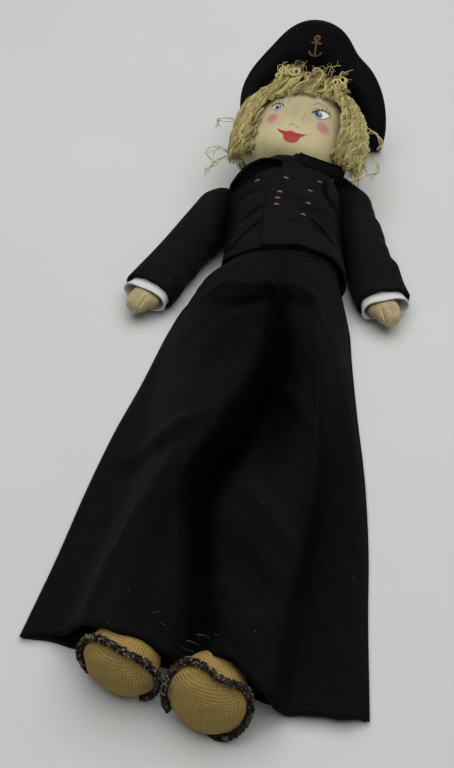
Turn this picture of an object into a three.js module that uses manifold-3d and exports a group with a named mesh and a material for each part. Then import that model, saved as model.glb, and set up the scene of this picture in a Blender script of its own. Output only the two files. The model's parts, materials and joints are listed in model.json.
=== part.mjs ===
// Sailor doll: a long-limbed stuffed cloth figure in a wool suit, lying on its back.
// Millimetres. X runs to the doll's left, Y from its soles to its cap, Z up from the table.
// Heights are counted from the soles; the finished figure is shifted so that the middle of
// the jacket's back, where it lies on the table, is the origin.

import * as THREE from 'three';
import { LoftGeometry } from 'three/addons/geometries/LoftGeometry.js';
import { mergeVertices } from 'three/addons/utils/BufferGeometryUtils.js';
import Module from 'manifold-3d';

const wasm = await Module();
wasm.setup();

// Cloth, clearances and flattening
const CLOTH = 1.8; // wool of the suit and cap
const LINING = 1.0; // white cotton of the cuffs
const GAP = 0.4; // between layers and between sewn pieces
const REST_CUT = 0.5; // depth to which soft pieces are pressed flat on the table

// Heights: the hip above the soles, and the rest of the trunk above the hip
const HIP_HEIGHT = 285; // crease where the legs fold
const JACKET_HEM_RISE = { front: 6, side: 15 };
const WAIST_RISE = 39;
const BACK_REST_RISE = 51;
const SHOULDER_RISE_FROM_HIP = 81;
const SHOULDER_SLOPE = 16; // from the shoulders up to the collar's seam
const NECK_RISE = 6; // from that seam up to the pivot of the head

// Trunk
const HIP_HALF_WIDTH = 33;
const HIP_SLANT_ROOM = 12; // the slanting crease reaches this far below the hip's middle
const HIP_FLARE = 11; // the trousers widen this far to each side below the jacket
const WAISTBAND_DEPTH = 9;
const CHEST_HALF_WIDTH = 33.5;
const TRUNK_HALF_DEPTH = 18.6;
const NECK_RADIUS = 12;
const NECK_LEAN = 9; // how far the neck stands forward of the trunk's middle
const SHOULDER_ROUNDING = 1.3;
const TRUNK_SQUARENESS = 2.4;

// Jacket
const LAP_HALF_ANGLE = 0.33; // the fronts overlap this far to each side of the middle
const LAP_EASE_START = 0.55;
const LAP_EASE_END = 1.1;
const SIDE_SEAM_ANGLE = 0.25; // side seams lie this far behind the widest line
const JACKET_FLARE = 3; // the jacket widens this far to each side towards its hem
const JACKET_FLARE_STEEPNESS = 4; // which leaves room for the sleeves to swing above it
const COLLAR_OPENING = 0.42; // half of the collar's opening at the throat
const COLLAR_STAND = 2.5;
const COLLAR_LEAF_DROP = 14; // from the neck edge down to the leaf's edge
const FLAP_DEPTH = 4.5;
const FLAP_RISE = { outer: 3, inner: 27 }; // a slanting flap's lower corners above the hem
const FLAP_X = { outer: 33, inner: 15 };
const WELT_DROP = 20; // lower end of the breast pocket's upright welt below the shoulders
const WELT_DEPTH = 12;
const WELT_X = { inner: 27.5, outer: 31 };
const TRIM_CLOTH = 1.2; // folded edges of flaps and welt
const BUTTON_LENGTH = 4.6; // sewn bars of thread stand in for buttons
const BUTTON_WIDTH = 2.2;
const BUTTON_RISE = 1.1;
const BUTTON_DOME = { across: 0.75, up: 0.8 }; // shares of its radius and rise where it rounds over
// Each button's place across and its drop from the shoulders: outer row, inner row and lapel
const OUTER_BUTTONS = [[21.4, 8.5], [15.5, 20], [14, 35], [11, 45.5]];
const INNER_BUTTONS = [[0.2, 10.5], [-3.6, 24], [-4.8, 29.5], [-5.3, 36.5]];
const LAPEL_BUTTON = [-19.2, 7];

// Head, hair and cap
const HEAD_AXIS_RISE = 34; // head axis above the table
const HEAD_TILT = -13;
const HEAD_HALF_WIDTH = 35.5;
const HEAD_FRONT_DEPTH = 29;
const HEAD_BACK_DEPTH = 28;
const HEAD_LENGTH = 80;
const HEAD_FULLNESS = 2.3;
const HEAD_SEAT = 0.5; // height of the chin's flat underside above the pivot
const HAIR_SIDE = 10;
const HAIR_FRONT = 6;
const HAIR_BACK = 6.5;
const HAIR_BASE = 3.5;
const HAIR_PART_X = 22; // side hair begins here
const FACE_HAIR_LINE = 17; // side hair reaches this far forward of the axis
const FRINGE_BASE = 48;
const BAND_BASE = 57;
const BAND_DEPTH = 15;
const RIM_RISE = 9; // from the band's top edge to the rim
const RIM_MEAN_RADIUS = 63.8;
const RIM_SAG = 13.4; // the rim spreads where the cap lies on the table
const RIM_LENGTHENING = 10.7;
const RIM_LOBES = 2.3;
const RIM_SHIFT = 1.5; // towards the doll's left
const CROWN_DOME = 9;
const CROWN_TURNS = [0.35, 0.7, 0.9]; // sections of the dome, as shares of a quarter turn
const CROWN_FULLNESS = 0.85; // share of the rim's radius that the dome draws in
const ANCHOR_LENGTH = 11;
const ANCHOR_STOCK = 6.5;
const ANCHOR_ARM_RADIUS = 4.2;
const ANCHOR_ARM_SWEEP = 0.45 * Math.PI; // the arms curl up this far to each side
const ANCHOR_RING_RADIUS = 1.5;
const ANCHOR_THREAD = 1.3; // width of the embroidered strokes
const ANCHOR_RADIUS_ON_RIM = 49;

// Arms, sleeves and hands, from the shoulder
const SHOULDER_OUTSET = 7; // shoulder pivot outside the armhole
const SHOULDER_RISE = 20; // shoulder pivot above the table
const SHOULDER_PIVOT_DROP = { left: 5, right: 11 };
const ARM_SPREAD = { left: 13.8, right: 29 };
const ARM_LENGTH = 79;
const ARM_RADIUS = 10;
const WRIST_RADIUS = 7.6;
const SLEEVE_LENGTH = 83;
const SLEEVE_HEAD = { left: 19, right: 15 }; // crown of the sleeve above the pivot
const SLEEVE_CROWN = 0.94; // how nearly the crown closes
const SLEEVE_SQUARENESS = 2.2;
const SLEEVE_TURNS = [0.5, 0.85, 1]; // sections of the crown, as shares of its length
const SLEEVE_HALF_WIDTH = { shoulder: 16, elbow: 16, cuff: 18 };
const SLEEVE_HALF_DEPTH = { shoulder: 17.5, elbow: 14, cuff: 11.5 };
const CUFF_DEPTH = 24;
const CUFF_SHOWING = 3;
const HAND_LENGTH = 27;
const HAND_HALF_WIDTH = 9.5;
const HAND_HALF_DEPTH = 7.5;
// The mitten's sections from tip to wrist: shares of its length, half width and half depth
const HAND_PROFILE = [[1, 0.3, 0.35], [0.9, 0.72, 0.75], [0.66, 1, 1], [0.35, 0.92, 1]];

// Legs, trousers and feet, from the hip crease
const LEG_SWAY = -10;
const LEG_RADIUS = 9.5;
const LEG_HIP_OFFSET = 20;
const LEG_BOW = { left: 6, right: -5 }; // sideways at the knee, to stay under the folds
const TROUSER_LENGTH = 256;
const HEM_SWEEP = { left: 12, right: 4 }; // the hem hangs longer beside the foot
const HEM_EASING = 0.4; // it is fully so this far from the leg to the corner
const TROUSER_HIP_EDGE = { left: 46, right: 55 };
const TROUSER_KNEE_EDGE = { left: 71, right: 74 };
const TROUSER_HEM_EDGE = { left: 93, right: 82 };
const TROUSER_EDGE = 4.4;
// Folds at shares of the trousers' length, listed from the right leg to the left one. Each is a share of
// the way from the seam between the legs to the outer edge, with its rise above the table.
const TROUSER_FOLDS = [
  [0, [[-0.93, 12], [-0.78, 28], [-0.45, 41], [-0.15, 40]],
    [[0, 36], [0.26, 40], [0.52, 41], [0.74, 30], [0.91, 15]]],
  [0.16, [[-0.93, 11], [-0.74, 29], [-0.39, 42], [-0.06, 41]],
    [[0.09, 27], [0.28, 38], [0.48, 40], [0.7, 27], [0.85, 14]]],
  [0.32, [[-0.9, 10], [-0.68, 27], [-0.32, 40], [0, 38]],
    [[0.15, 15], [0.355, 28], [0.55, 38], [0.74, 19], [0.855, 12]]],
  [0.5, [[-0.81, 9], [-0.57, 29], [-0.35, 39], [-0.135, 37]],
    [[-0.015, 10], [0.28, 25], [0.585, 37], [0.75, 14], [0.89, 11]]],
  [0.67, [[-0.73, 9], [-0.51, 31], [-0.41, 37], [-0.28, 35]],
    [[-0.18, 8], [0.22, 25], [0.57, 36], [0.72, 11], [0.9, 11]]],
  [0.82, [[-0.78, 9], [-0.525, 34], [-0.375, 37], [-0.175, 31]],
    [[-0.09, 8], [0.225, 28], [0.53, 36], [0.67, 10], [0.87, 10]]],
  [1, [[-0.8, 8], [-0.61, 29], [-0.29, 45], [-0.05, 27]],
    [[0.03, 15], [0.215, 43], [0.51, 28], [0.62, 8], [0.86, 8]]],
];
const FOOT_X = { left: 20.5, right: -25.8 };
const FOOT_BEYOND_HEM = { left: 24, right: 19 }; // from the hem over the foot to the foot's seam
const FOOT_RISE = 20.5;
const FOOT_TILT = -18;
const FOOT_TURN = { left: -4, right: 9 };
const FOOT_RADIUS = 18.6;
const FOOT_HEIGHT_SHARE = 1.1; // the foot is this much taller than wide
const FOOT_UPPER_LENGTH = 25;
const ANKLE_RADIUS = 13;
const SOLE_DEPTH = 13;
const SOLE_SECTIONS = [0.97, 0.85, 0.6, 0.3]; // shares of that depth, from the bottom up
const FOOT_BULGE = 0.8; // lower values keep the upper full for longer
const TRIM_RADIUS = 1.9;
const TRIM_OPENING = 50; // half of the gap that the trim leaves at the heel

// Facets and helpers for oversize cutters
const ROUND = 20;
const RIM_SIDES = 36;
const FAR = 700;
const MERGE_DISTANCE = 1e-4;

const { lerp, smoothstep, clamp, degToRad } = THREE.MathUtils;
const { PI, cos, sin, abs, sign } = Math;

// Finishes, as seen: near-black navy wool, cream cloth, blond mohair, tan burlap
const WOOL = { color: 0x14151f, roughness: 0.95, metalness: 0 };
const SKIN = { color: 0xe6d3b1, roughness: 0.85, metalness: 0 };
const CANVAS = { color: 0xcfb98f, roughness: 0.95, metalness: 0 };
const HAIR = { color: 0xd9c79c, roughness: 0.8, metalness: 0 };
const BURLAP = { color: 0xb8985a, roughness: 0.95, metalness: 0 };
const CHENILLE = { color: 0x2b2723, roughness: 1, metalness: 0 };
const COTTON = { color: 0xe9e9ec, roughness: 0.9, metalness: 0 };
const BRONZE_THREAD = { color: 0x6d4c2c, roughness: 0.7, metalness: 0 };

/** Values from first to last in equal steps, both ends included. */
function spread(first, last, steps) {
  return Array.from({ length: steps + 1 }, (_, i) => lerp(first, last, i / steps));
}

/** Signed power, for squarish rounds. */
function power(value, exponent) {
  return sign(value) * abs(value) ** exponent;
}

/** A closed geometry as a solid that can be joined and cut. */
function toSolid(geometry) {
  const bare = new THREE.BufferGeometry();
  bare.setAttribute('position', geometry.getAttribute('position'));
  bare.setIndex(geometry.getIndex());
  const merged = mergeVertices(bare, MERGE_DISTANCE);
  const vertProperties = merged.getAttribute('position').array;
  const triVerts = new Uint32Array(merged.getIndex().array);
  return new wasm.Manifold(new wasm.Mesh({ numProp: 3, vertProperties, triVerts }));
}

/** The geometry of a solid. */
function toGeometry(solid) {
  const { vertProperties, triVerts } = solid.getMesh();
  const geometry = new THREE.BufferGeometry();
  geometry.setAttribute('position', new THREE.BufferAttribute(vertProperties, 3));
  geometry.setIndex(new THREE.BufferAttribute(triVerts, 1));
  geometry.computeVertexNormals();
  return geometry;
}

/** Adds a named piece with a finish of its own to a group. */
function addPiece(group, name, solid, finish) {
  const mesh = new THREE.Mesh(toGeometry(solid), new THREE.MeshStandardMaterial(finish));
  mesh.name = name;
  group.add(mesh);
  return mesh;
}

/** A solid through closed sections, listed from low to high Y or by rising angle. */
function loft(sections) {
  return toSolid(new LoftGeometry(sections, { capStart: true, capEnd: true }));
}

/** A box between two corners, carried into another frame if a matrix is given. */
function block(low, high, matrix = new THREE.Matrix4()) {
  const size = new THREE.Vector3().subVectors(high, low);
  const middle = new THREE.Vector3().addVectors(high, low).multiplyScalar(0.5);
  const geometry = new THREE.BoxGeometry(size.x, size.y, size.z);
  geometry.translate(middle.x, middle.y, middle.z);
  return toSolid(geometry.applyMatrix4(matrix));
}

/** An oval section across Y, with its own reach to the sides, upwards and downwards. */
function oval({ x = 0, y, z = 0, width, up, down = up, squareness = 2, sides = ROUND }) {
  return Array.from({ length: sides }, (_, i) => {
    const angle = (2 * PI * i) / sides;
    const across = power(cos(angle), 2 / squareness);
    const rise = power(sin(angle), 2 / squareness);
    return new THREE.Vector3(x - width * across, y, z + (rise > 0 ? up : down) * rise);
  });
}

const shoulderHeight = HIP_HEIGHT + SHOULDER_RISE_FROM_HIP;
const collarHeight = shoulderHeight + SHOULDER_SLOPE;
const neckHeight = collarHeight + NECK_RISE;
const waistHeight = HIP_HEIGHT + WAIST_RISE;

// Frames: the figure in the table's frame, and in it the head, arms, legs and feet
const doll = new THREE.Group();
const figure = new THREE.Group();
figure.position.y = -HIP_HEIGHT - BACK_REST_RISE;
doll.add(figure);

/** A frame placed in a parent, turned by degrees about its X and then Z axis. */
function frame(parent, position, turn, tilt = 0) {
  const group = new THREE.Group();
  group.position.copy(position);
  group.rotation.set(degToRad(tilt), 0, degToRad(turn), 'ZXY');
  parent.add(group);
  doll.updateMatrixWorld(true);
  return group;
}

/** The matrix that carries a shape from one frame into another. */
function carry(from, to) {
  return to.matrixWorld.clone().invert().multiply(from.matrixWorld);
}

/** Everything below the table, seen from a frame. */
function belowTable(group) {
  const low = new THREE.Vector3(-FAR, -FAR, -FAR);
  return block(low, new THREE.Vector3(FAR, FAR, 0), carry(figure, group));
}

const jacketInner = 2 * GAP + CLOTH;
const jacketOuter = jacketInner + CLOTH;
const armholeX = CHEST_HALF_WIDTH + jacketOuter + GAP;
const trunkRise = TRUNK_HALF_DEPTH + jacketOuter - REST_CUT;

const headFrame = frame(figure, new THREE.Vector3(0, neckHeight, HEAD_AXIS_RISE), HEAD_TILT);
const legsFrame = frame(figure, new THREE.Vector3(0, HIP_HEIGHT, 0), LEG_SWAY);

// Trunk: every layer is a ring round the same core, grown by the layers under it

/** How far up the slope of the shoulders a height lies, from 0 to 1. */
function shoulderSlope(height) {
  return clamp((height - shoulderHeight) / (collarHeight - shoulderHeight), 0, 1) ** SHOULDER_ROUNDING;
}

/** Half of the trunk core's width at a height. */
function trunkHalfWidth(height) {
  const body = lerp(HIP_HALF_WIDTH, CHEST_HALF_WIDTH, smoothstep(height, HIP_HEIGHT, shoulderHeight));
  return lerp(body, NECK_RADIUS, shoulderSlope(height));
}

/** A point of the trunk's core or of a layer round it. Angle 0 is the right side, PI / 2 the front. */
function trunkPoint(height, grow, angle, widen = 0) {
  const halfWidth = trunkHalfWidth(height) + grow + widen;
  const halfDepth = lerp(TRUNK_HALF_DEPTH, NECK_RADIUS, shoulderSlope(height)) + grow;
  const rise = trunkRise + NECK_LEAN * smoothstep(height, shoulderHeight, collarHeight);
  const across = power(cos(angle), 2 / TRUNK_SQUARENESS);
  const forward = power(sin(angle), 2 / TRUNK_SQUARENESS);
  return new THREE.Vector3(-halfWidth * across, height, rise + halfDepth * forward);
}

/** The angle at which the front of a layer lies at a place across. */
function frontAngle(x, height, grow) {
  return Math.acos(power(-x / (trunkHalfWidth(height) + grow), TRUNK_SQUARENESS / 2));
}

/** Full rings round the trunk at the given heights, widened to the sides if a function says so. */
function trunkRings(heights, grow, widen = () => 0) {
  const angles = spread(0, 2 * PI, ROUND).slice(1);
  return heights.map((height) => angles.map((angle) => trunkPoint(height, grow, angle, widen(height))));
}

/** A point of a layer of the jacket, which widens towards its hem. */
function jacketPoint(height, grow, angle) {
  const drop = clamp((shoulderHeight - height) / SHOULDER_RISE_FROM_HIP, 0, 1);
  const flare = drop ** JACKET_FLARE_STEEPNESS;
  return trunkPoint(height, grow, angle, JACKET_FLARE * flare);
}

/** A piece wrapped round part of the jacket: its section at an angle is a loop of height and grow. */
function wrap(from, to, steps, section) {
  const sections = spread(from, to, steps).map((angle) =>
    section(angle).map(([height, grow]) => jacketPoint(height, grow, angle)),
  );
  return loft(sections);
}

/** Height of the jacket's hem at an angle: it follows the slanting crease and hangs lower in front. */
function hemHeight(angle) {
  const front = Math.max(0, sin(angle)) ** 2;
  const across = -HIP_HALF_WIDTH * power(cos(angle), 2 / TRUNK_SQUARENESS);
  const crease = HIP_HEIGHT + across * Math.tan(degToRad(LEG_SWAY));
  return crease + lerp(JACKET_HEM_RISE.side, JACKET_HEM_RISE.front, front);
}

/** A jacket panel round part of the trunk, from hem to neck. Its grows depend on the angle. */
function panel(from, to, steps, inner, outer) {
  const angles = spread(from, to, steps);
  const rows = [
    ...spread(0, 1, 3).map((share) => (angle) => lerp(hemHeight(angle), shoulderHeight, share)),
    ...spread(shoulderHeight, collarHeight, 4).slice(1).map((height) => () => height),
  ];
  return loft(
    rows.map((height) => [
      ...angles.map((angle) => jacketPoint(height(angle), outer(angle), angle)),
      ...angles.map((angle) => jacketPoint(height(angle), inner(angle), angle)).reverse(),
    ]),
  );
}

/** The section of a layer of cloth: up its inner side and down its outer side. */
function layer(heights, inner, outer) {
  const rising = heights.map((height) => [height, inner]);
  const falling = heights.map((height) => [height, outer]).reverse();
  return [...rising, ...falling];
}

const belowHip = block(
  new THREE.Vector3(-FAR, -FAR, -FAR),
  new THREE.Vector3(FAR, GAP / 2, FAR),
  carry(legsFrame, figure),
);

function buildTorso() {
  const heights = [
    ...spread(HIP_HEIGHT - HIP_SLANT_ROOM, shoulderHeight, 5),
    ...spread(shoulderHeight, collarHeight, 4).slice(1),
    neckHeight + NECK_RADIUS,
  ];
  const aboveNeck = block(
    new THREE.Vector3(-FAR, HEAD_SEAT - GAP, -FAR),
    new THREE.Vector3(FAR, FAR, FAR),
    carry(headFrame, figure),
  );
  addPiece(figure, 'torso', loft(trunkRings(heights, 0)).subtract(belowHip).subtract(aboveNeck), SKIN);
}

/** A ring of cloth round the trunk through the given heights. */
function trunkBand(heights, inner, outer, widen) {
  const beyond = [heights[0] - CLOTH, ...heights, heights.at(-1) + CLOTH];
  return loft(trunkRings(heights, outer, widen)).subtract(loft(trunkRings(beyond, inner, widen)));
}

function buildHipTrousers() {
  const lowest = HIP_HEIGHT - HIP_SLANT_ROOM;
  const flareTop = HIP_HEIGHT + JACKET_HEM_RISE.front - CLOTH;
  const flare = (height) => {
    const rise = clamp((height - lowest) / (flareTop - lowest), 0, 1);
    return HIP_FLARE * (1 - rise * rise);
  };
  const heights = [...spread(lowest, flareTop, 4), waistHeight - GAP];
  const hip = trunkBand(heights, GAP, GAP + CLOTH, flare);
  addPiece(figure, 'trousers_hip', hip.subtract(belowHip).subtract(belowTable(figure)), WOOL);
  const bandHeights = [waistHeight, waistHeight + WAISTBAND_DEPTH];
  addPiece(figure, 'waistband', trunkBand(bandHeights, GAP, GAP + CLOTH), WOOL);
}

/** How far the upper front stands over the lower one at an angle, from 0 to 1. */
function lapShare(angle) {
  return 1 - smoothstep(angle - PI / 2, LAP_EASE_START, LAP_EASE_END);
}

function buildJacket() {
  const seam = GAP / TRUNK_HALF_DEPTH;
  const inside = () => jacketInner;
  const outside = () => jacketOuter;
  const lapInside = (angle) => jacketInner + lapShare(angle) * (CLOTH + GAP);
  const lapOutside = (angle) => jacketFace(angle, true);
  const backFrom = PI + SIDE_SEAM_ANGLE + seam;
  const backTo = 2 * PI - SIDE_SEAM_ANGLE - seam;
  const back = panel(backFrom, backTo, 12, inside, outside);
  const right = panel(-SIDE_SEAM_ANGLE, PI / 2 + LAP_HALF_ANGLE, 10, inside, outside);
  const left = panel(PI / 2 - LAP_HALF_ANGLE, PI + SIDE_SEAM_ANGLE, 12, lapInside, lapOutside);
  addPiece(figure, 'jacket_back', back.subtract(belowTable(figure)), WOOL);
  addPiece(figure, 'jacket_right_front', right, WOOL);
  addPiece(figure, 'jacket_left_front', left, WOOL);

  const collarInner = jacketOuter + CLOTH + 2 * GAP;
  const collarTop = collarHeight + COLLAR_STAND;
  const leaf = spread(collarTop - COLLAR_LEAF_DROP, collarTop, 4);
  const fold = CLOTH * Math.SQRT1_2;
  const collar = wrap(PI / 2 + COLLAR_OPENING, (5 * PI) / 2 - COLLAR_OPENING, 20, () => [
    ...leaf.map((height) => [height, collarInner]),
    ...leaf.map((height) => [height + fold, collarInner + fold]).reverse(),
  ]);
  addPiece(figure, 'collar', collar.subtract(belowTable(figure)), WOOL);
}

/** Grow of the jacket's outside at an angle, on the side of the upper or the lower front. */
function jacketFace(angle, upper) {
  return jacketOuter + (upper ? lapShare(angle) * (CLOTH + GAP) : 0);
}

/** A strip of folded cloth sewn to the jacket's front from one angle to another. */
function frontStrip(from, to, upper, lowEdge, depth) {
  return wrap(from, to, 5, (angle) => {
    const low = lowEdge(angle, (angle - from) / (to - from));
    const face = jacketFace(angle, upper) + GAP;
    return layer([low, low + depth], face, face + TRIM_CLOTH);
  });
}

function buildPockets() {
  const pocketAngle = (x) => frontAngle(x, HIP_HEIGHT, jacketOuter);
  const rising = (angle, share) => hemHeight(angle) + lerp(FLAP_RISE.outer, FLAP_RISE.inner, share);
  const falling = (angle, share) => rising(angle, 1 - share);
  const right = frontStrip(pocketAngle(-FLAP_X.outer), pocketAngle(-FLAP_X.inner), false, rising, FLAP_DEPTH);
  const left = frontStrip(pocketAngle(FLAP_X.inner), pocketAngle(FLAP_X.outer), true, falling, FLAP_DEPTH);
  const weltLow = () => shoulderHeight - WELT_DROP;
  const welt = frontStrip(pocketAngle(WELT_X.inner), pocketAngle(WELT_X.outer), true, weltLow, WELT_DEPTH);
  addPiece(figure, 'pocket_flap_right', right, WOOL);
  addPiece(figure, 'pocket_flap_left', left, WOOL);
  addPiece(figure, 'breast_pocket_welt', welt, WOOL);
}

/** A sewn bar of thread on the jacket's front. */
function addButton(name, [x, drop], upper) {
  const height = shoulderHeight - drop;
  const radius = BUTTON_WIDTH / 2;
  const dome = [
    new THREE.Vector2(0, 0),
    new THREE.Vector2(radius, 0),
    new THREE.Vector2(radius * BUTTON_DOME.across, BUTTON_RISE * BUTTON_DOME.up),
    new THREE.Vector2(0, BUTTON_RISE),
  ];
  const bar = new THREE.LatheGeometry(dome, 8).scale(BUTTON_LENGTH / BUTTON_WIDTH, 1, 1);
  const angle = frontAngle(x, height, jacketOuter);
  const face = jacketFace(angle, upper) + GAP;
  const seat = jacketPoint(height, face, angle);
  const out = jacketPoint(height, face + CLOTH, angle).sub(seat).normalize();
  const button = addPiece(figure, name, toSolid(bar), BRONZE_THREAD);
  button.position.copy(seat);
  button.quaternion.setFromUnitVectors(new THREE.Vector3(0, 1, 0), out);
}

function buildButtons() {
  OUTER_BUTTONS.forEach((place, i) => addButton(`button_outer_${i + 1}`, place, true));
  INNER_BUTTONS.forEach((place, i) => addButton(`button_inner_${i + 1}`, place, true));
  addButton('button_lapel', LAPEL_BUTTON, false);
}

// Head: sections along the head's own axis, which is also the axis that it turns about

/** Share of the head's full girth at a height above the pivot. */
function headShare(height) {
  const half = HEAD_LENGTH / 2;
  return Math.max(0, 1 - abs((height - half) / half) ** HEAD_FULLNESS) ** (1 / HEAD_FULLNESS);
}

/** Section of the head, or of a shape grown round it. */
function headOval(height, side, front, back, share = headShare(height)) {
  return oval({
    y: height,
    width: HEAD_HALF_WIDTH * share + side,
    up: HEAD_FRONT_DEPTH * share + front,
    down: HEAD_BACK_DEPTH * share + back,
  });
}

/** Heights of sections from one height to another, closest where the head rounds off. */
function headHeights(from, to) {
  const half = HEAD_LENGTH / 2;
  const rounded = spread(0, PI, 12).map((turn) => half - half * cos(turn));
  return [from, ...rounded.filter((height) => height > from && height < to), to];
}

function buildHead() {
  const heights = headHeights(HEAD_SEAT, HEAD_LENGTH - HEAD_SEAT);
  const head = loft(heights.map((height) => headOval(height, 0, 0, 0)));
  addPiece(headFrame, 'head', head, SKIN);
}

function buildHair() {
  const top = BAND_BASE - GAP;
  const heights = headHeights(HAIR_BASE, top);
  const grown = headHeights(HAIR_BASE - GAP, top + GAP);
  const outside = loft(heights.map((height) => headOval(height, HAIR_SIDE, HAIR_FRONT, HAIR_BACK)));
  const inside = loft(grown.map((height) => headOval(height, GAP, GAP, GAP)));
  const wig = outside.subtract(inside).subtract(belowTable(headFrame));
  const part = HAIR_PART_X + GAP;
  const right = block(new THREE.Vector3(-FAR, 0, -FAR), new THREE.Vector3(-part, top, FACE_HAIR_LINE));
  const left = block(new THREE.Vector3(part, 0, -FAR), new THREE.Vector3(FAR, top, FACE_HAIR_LINE));
  const back = block(
    new THREE.Vector3(-HAIR_PART_X, 0, -FAR),
    new THREE.Vector3(HAIR_PART_X, top, 0),
  );
  const fringe = block(
    new THREE.Vector3(-HAIR_PART_X, FRINGE_BASE, 0),
    new THREE.Vector3(HAIR_PART_X, top, FAR),
  );
  addPiece(headFrame, 'hair_right', wig.intersect(right), HAIR);
  addPiece(headFrame, 'hair_left', wig.intersect(left), HAIR);
  addPiece(headFrame, 'hair_back', wig.intersect(back), HAIR);
  addPiece(headFrame, 'hair_fringe', wig.intersect(fringe), HAIR);
}

/** Section of the cap's soft rim, drawn in by an inset, wider at the front and the sides. */
function rim(height, inset) {
  const sides = RIM_SIDES;
  return Array.from({ length: sides }, (_, i) => {
    const angle = (2 * PI * i) / sides;
    const fromFront = angle - PI / 2;
    const lobes = RIM_LENGTHENING * cos(2 * fromFront) + RIM_LOBES * cos(4 * fromFront);
    const lean = RIM_SHIFT * sin(fromFront) - RIM_SAG * cos(fromFront);
    const radius = RIM_MEAN_RADIUS + lobes + lean - inset;
    return new THREE.Vector3(-radius * cos(angle), height, radius * sin(angle));
  });
}

/** Section of the cap's band, which clears the head where the band begins. */
function bandOval(height, grow) {
  const share = headShare(BAND_BASE);
  const fit = 2 * GAP + grow;
  return oval({
    y: height,
    width: HEAD_HALF_WIDTH * share + fit,
    up: HEAD_FRONT_DEPTH * share + fit,
    down: HEAD_BACK_DEPTH * share + fit,
    sides: RIM_SIDES,
  });
}

function buildCap() {
  const bandTop = BAND_BASE + BAND_DEPTH;
  const rimHeight = bandTop + GAP + RIM_RISE;
  const over = CLOTH;
  const table = belowTable(headFrame);
  const opening = loft([bandOval(BAND_BASE - over, 0), bandOval(rimHeight + over, 0)]);
  const band = loft([bandOval(BAND_BASE, CLOTH), bandOval(bandTop, CLOTH)]);
  addPiece(headFrame, 'cap_band', band.subtract(opening).subtract(table), WOOL);

  const ringBase = bandTop + GAP;
  const ringSolid = loft([bandOval(ringBase, CLOTH), rim(rimHeight, 0)]);
  const ringHollow = loft([bandOval(ringBase + CLOTH, CLOTH), rim(rimHeight + CLOTH, 0)]);
  const ring = ringSolid.subtract(ringHollow).subtract(opening);
  addPiece(headFrame, 'cap_underside', ring.subtract(table), WOOL);

  const dome = (base, inset, rise) =>
    loft([
      rim(base, inset),
      ...CROWN_TURNS.map((turn) => {
        const drawn = RIM_MEAN_RADIUS * CROWN_FULLNESS * (1 - cos((turn * PI) / 2));
        return rim(base + rise * sin((turn * PI) / 2), inset + drawn);
      }),
    ]);
  const crown = dome(rimHeight + GAP, 0, CROWN_DOME);
  const crownHollow = dome(rimHeight + GAP - CLOTH, CLOTH, CROWN_DOME);
  addPiece(headFrame, 'cap_top', crown.subtract(crownHollow).subtract(table), WOOL);
}

/** An unbroken raised stroke along a path, with an even number of sides. */
function stroke(path, radius, steps, sides) {
  const section = new THREE.Shape().absarc(0, 0, radius, 0, 2 * PI);
  const options = { steps, extrudePath: path, curveSegments: sides / 2 };
  return toSolid(new THREE.ExtrudeGeometry(section, options));
}

function buildAnchor() {
  const half = ANCHOR_LENGTH / 2;
  const thread = ANCHOR_THREAD / 2;
  const line = (from, to) => stroke(new THREE.LineCurve3(from, to), thread, 1, 6);
  const stockHeight = half - ANCHOR_THREAD;
  const arc = spread(-ANCHOR_ARM_SWEEP, ANCHOR_ARM_SWEEP, 8).map(
    (turn) =>
      new THREE.Vector3(
        ANCHOR_ARM_RADIUS * sin(turn),
        -half + ANCHOR_ARM_RADIUS * (1 - cos(turn)),
        0,
      ),
  );
  const ring = new THREE.TorusGeometry(ANCHOR_RING_RADIUS, thread, 6, 10);
  ring.translate(0, half + ANCHOR_RING_RADIUS - thread, 0);
  const anchor = line(new THREE.Vector3(0, -half, 0), new THREE.Vector3(0, half, 0))
    .add(
      line(
        new THREE.Vector3(-ANCHOR_STOCK / 2, stockHeight, 0),
        new THREE.Vector3(ANCHOR_STOCK / 2, stockHeight, 0),
      ),
    )
    .add(stroke(new THREE.CatmullRomCurve3(arc), thread, 12, 6))
    .add(toSolid(ring));
  const bandFront = HEAD_FRONT_DEPTH * headShare(BAND_BASE) + 2 * GAP + CLOTH;
  const rimFront = RIM_MEAN_RADIUS + RIM_LENGTHENING + RIM_LOBES - RIM_SAG;
  const slope = Math.atan2(RIM_RISE, rimFront - bandFront);
  const along = (ANCHOR_RADIUS_ON_RIM - bandFront) * Math.tan(slope);
  const lift = thread + GAP;
  const piece = addPiece(headFrame, 'cap_anchor', anchor, BRONZE_THREAD);
  piece.rotation.x = PI / 2 - slope;
  piece.position.set(
    0,
    BAND_BASE + BAND_DEPTH + GAP + along - lift * cos(slope),
    ANCHOR_RADIUS_ON_RIM + lift * sin(slope),
  );
}

/** A curve through three values at the start, middle and end of a stretch. */
function through(start, middle, end, share) {
  const first = lerp(start, middle, 2 * share);
  const second = lerp(middle, end, 2 * share - 1);
  return lerp(first, second, share);
}

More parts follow.
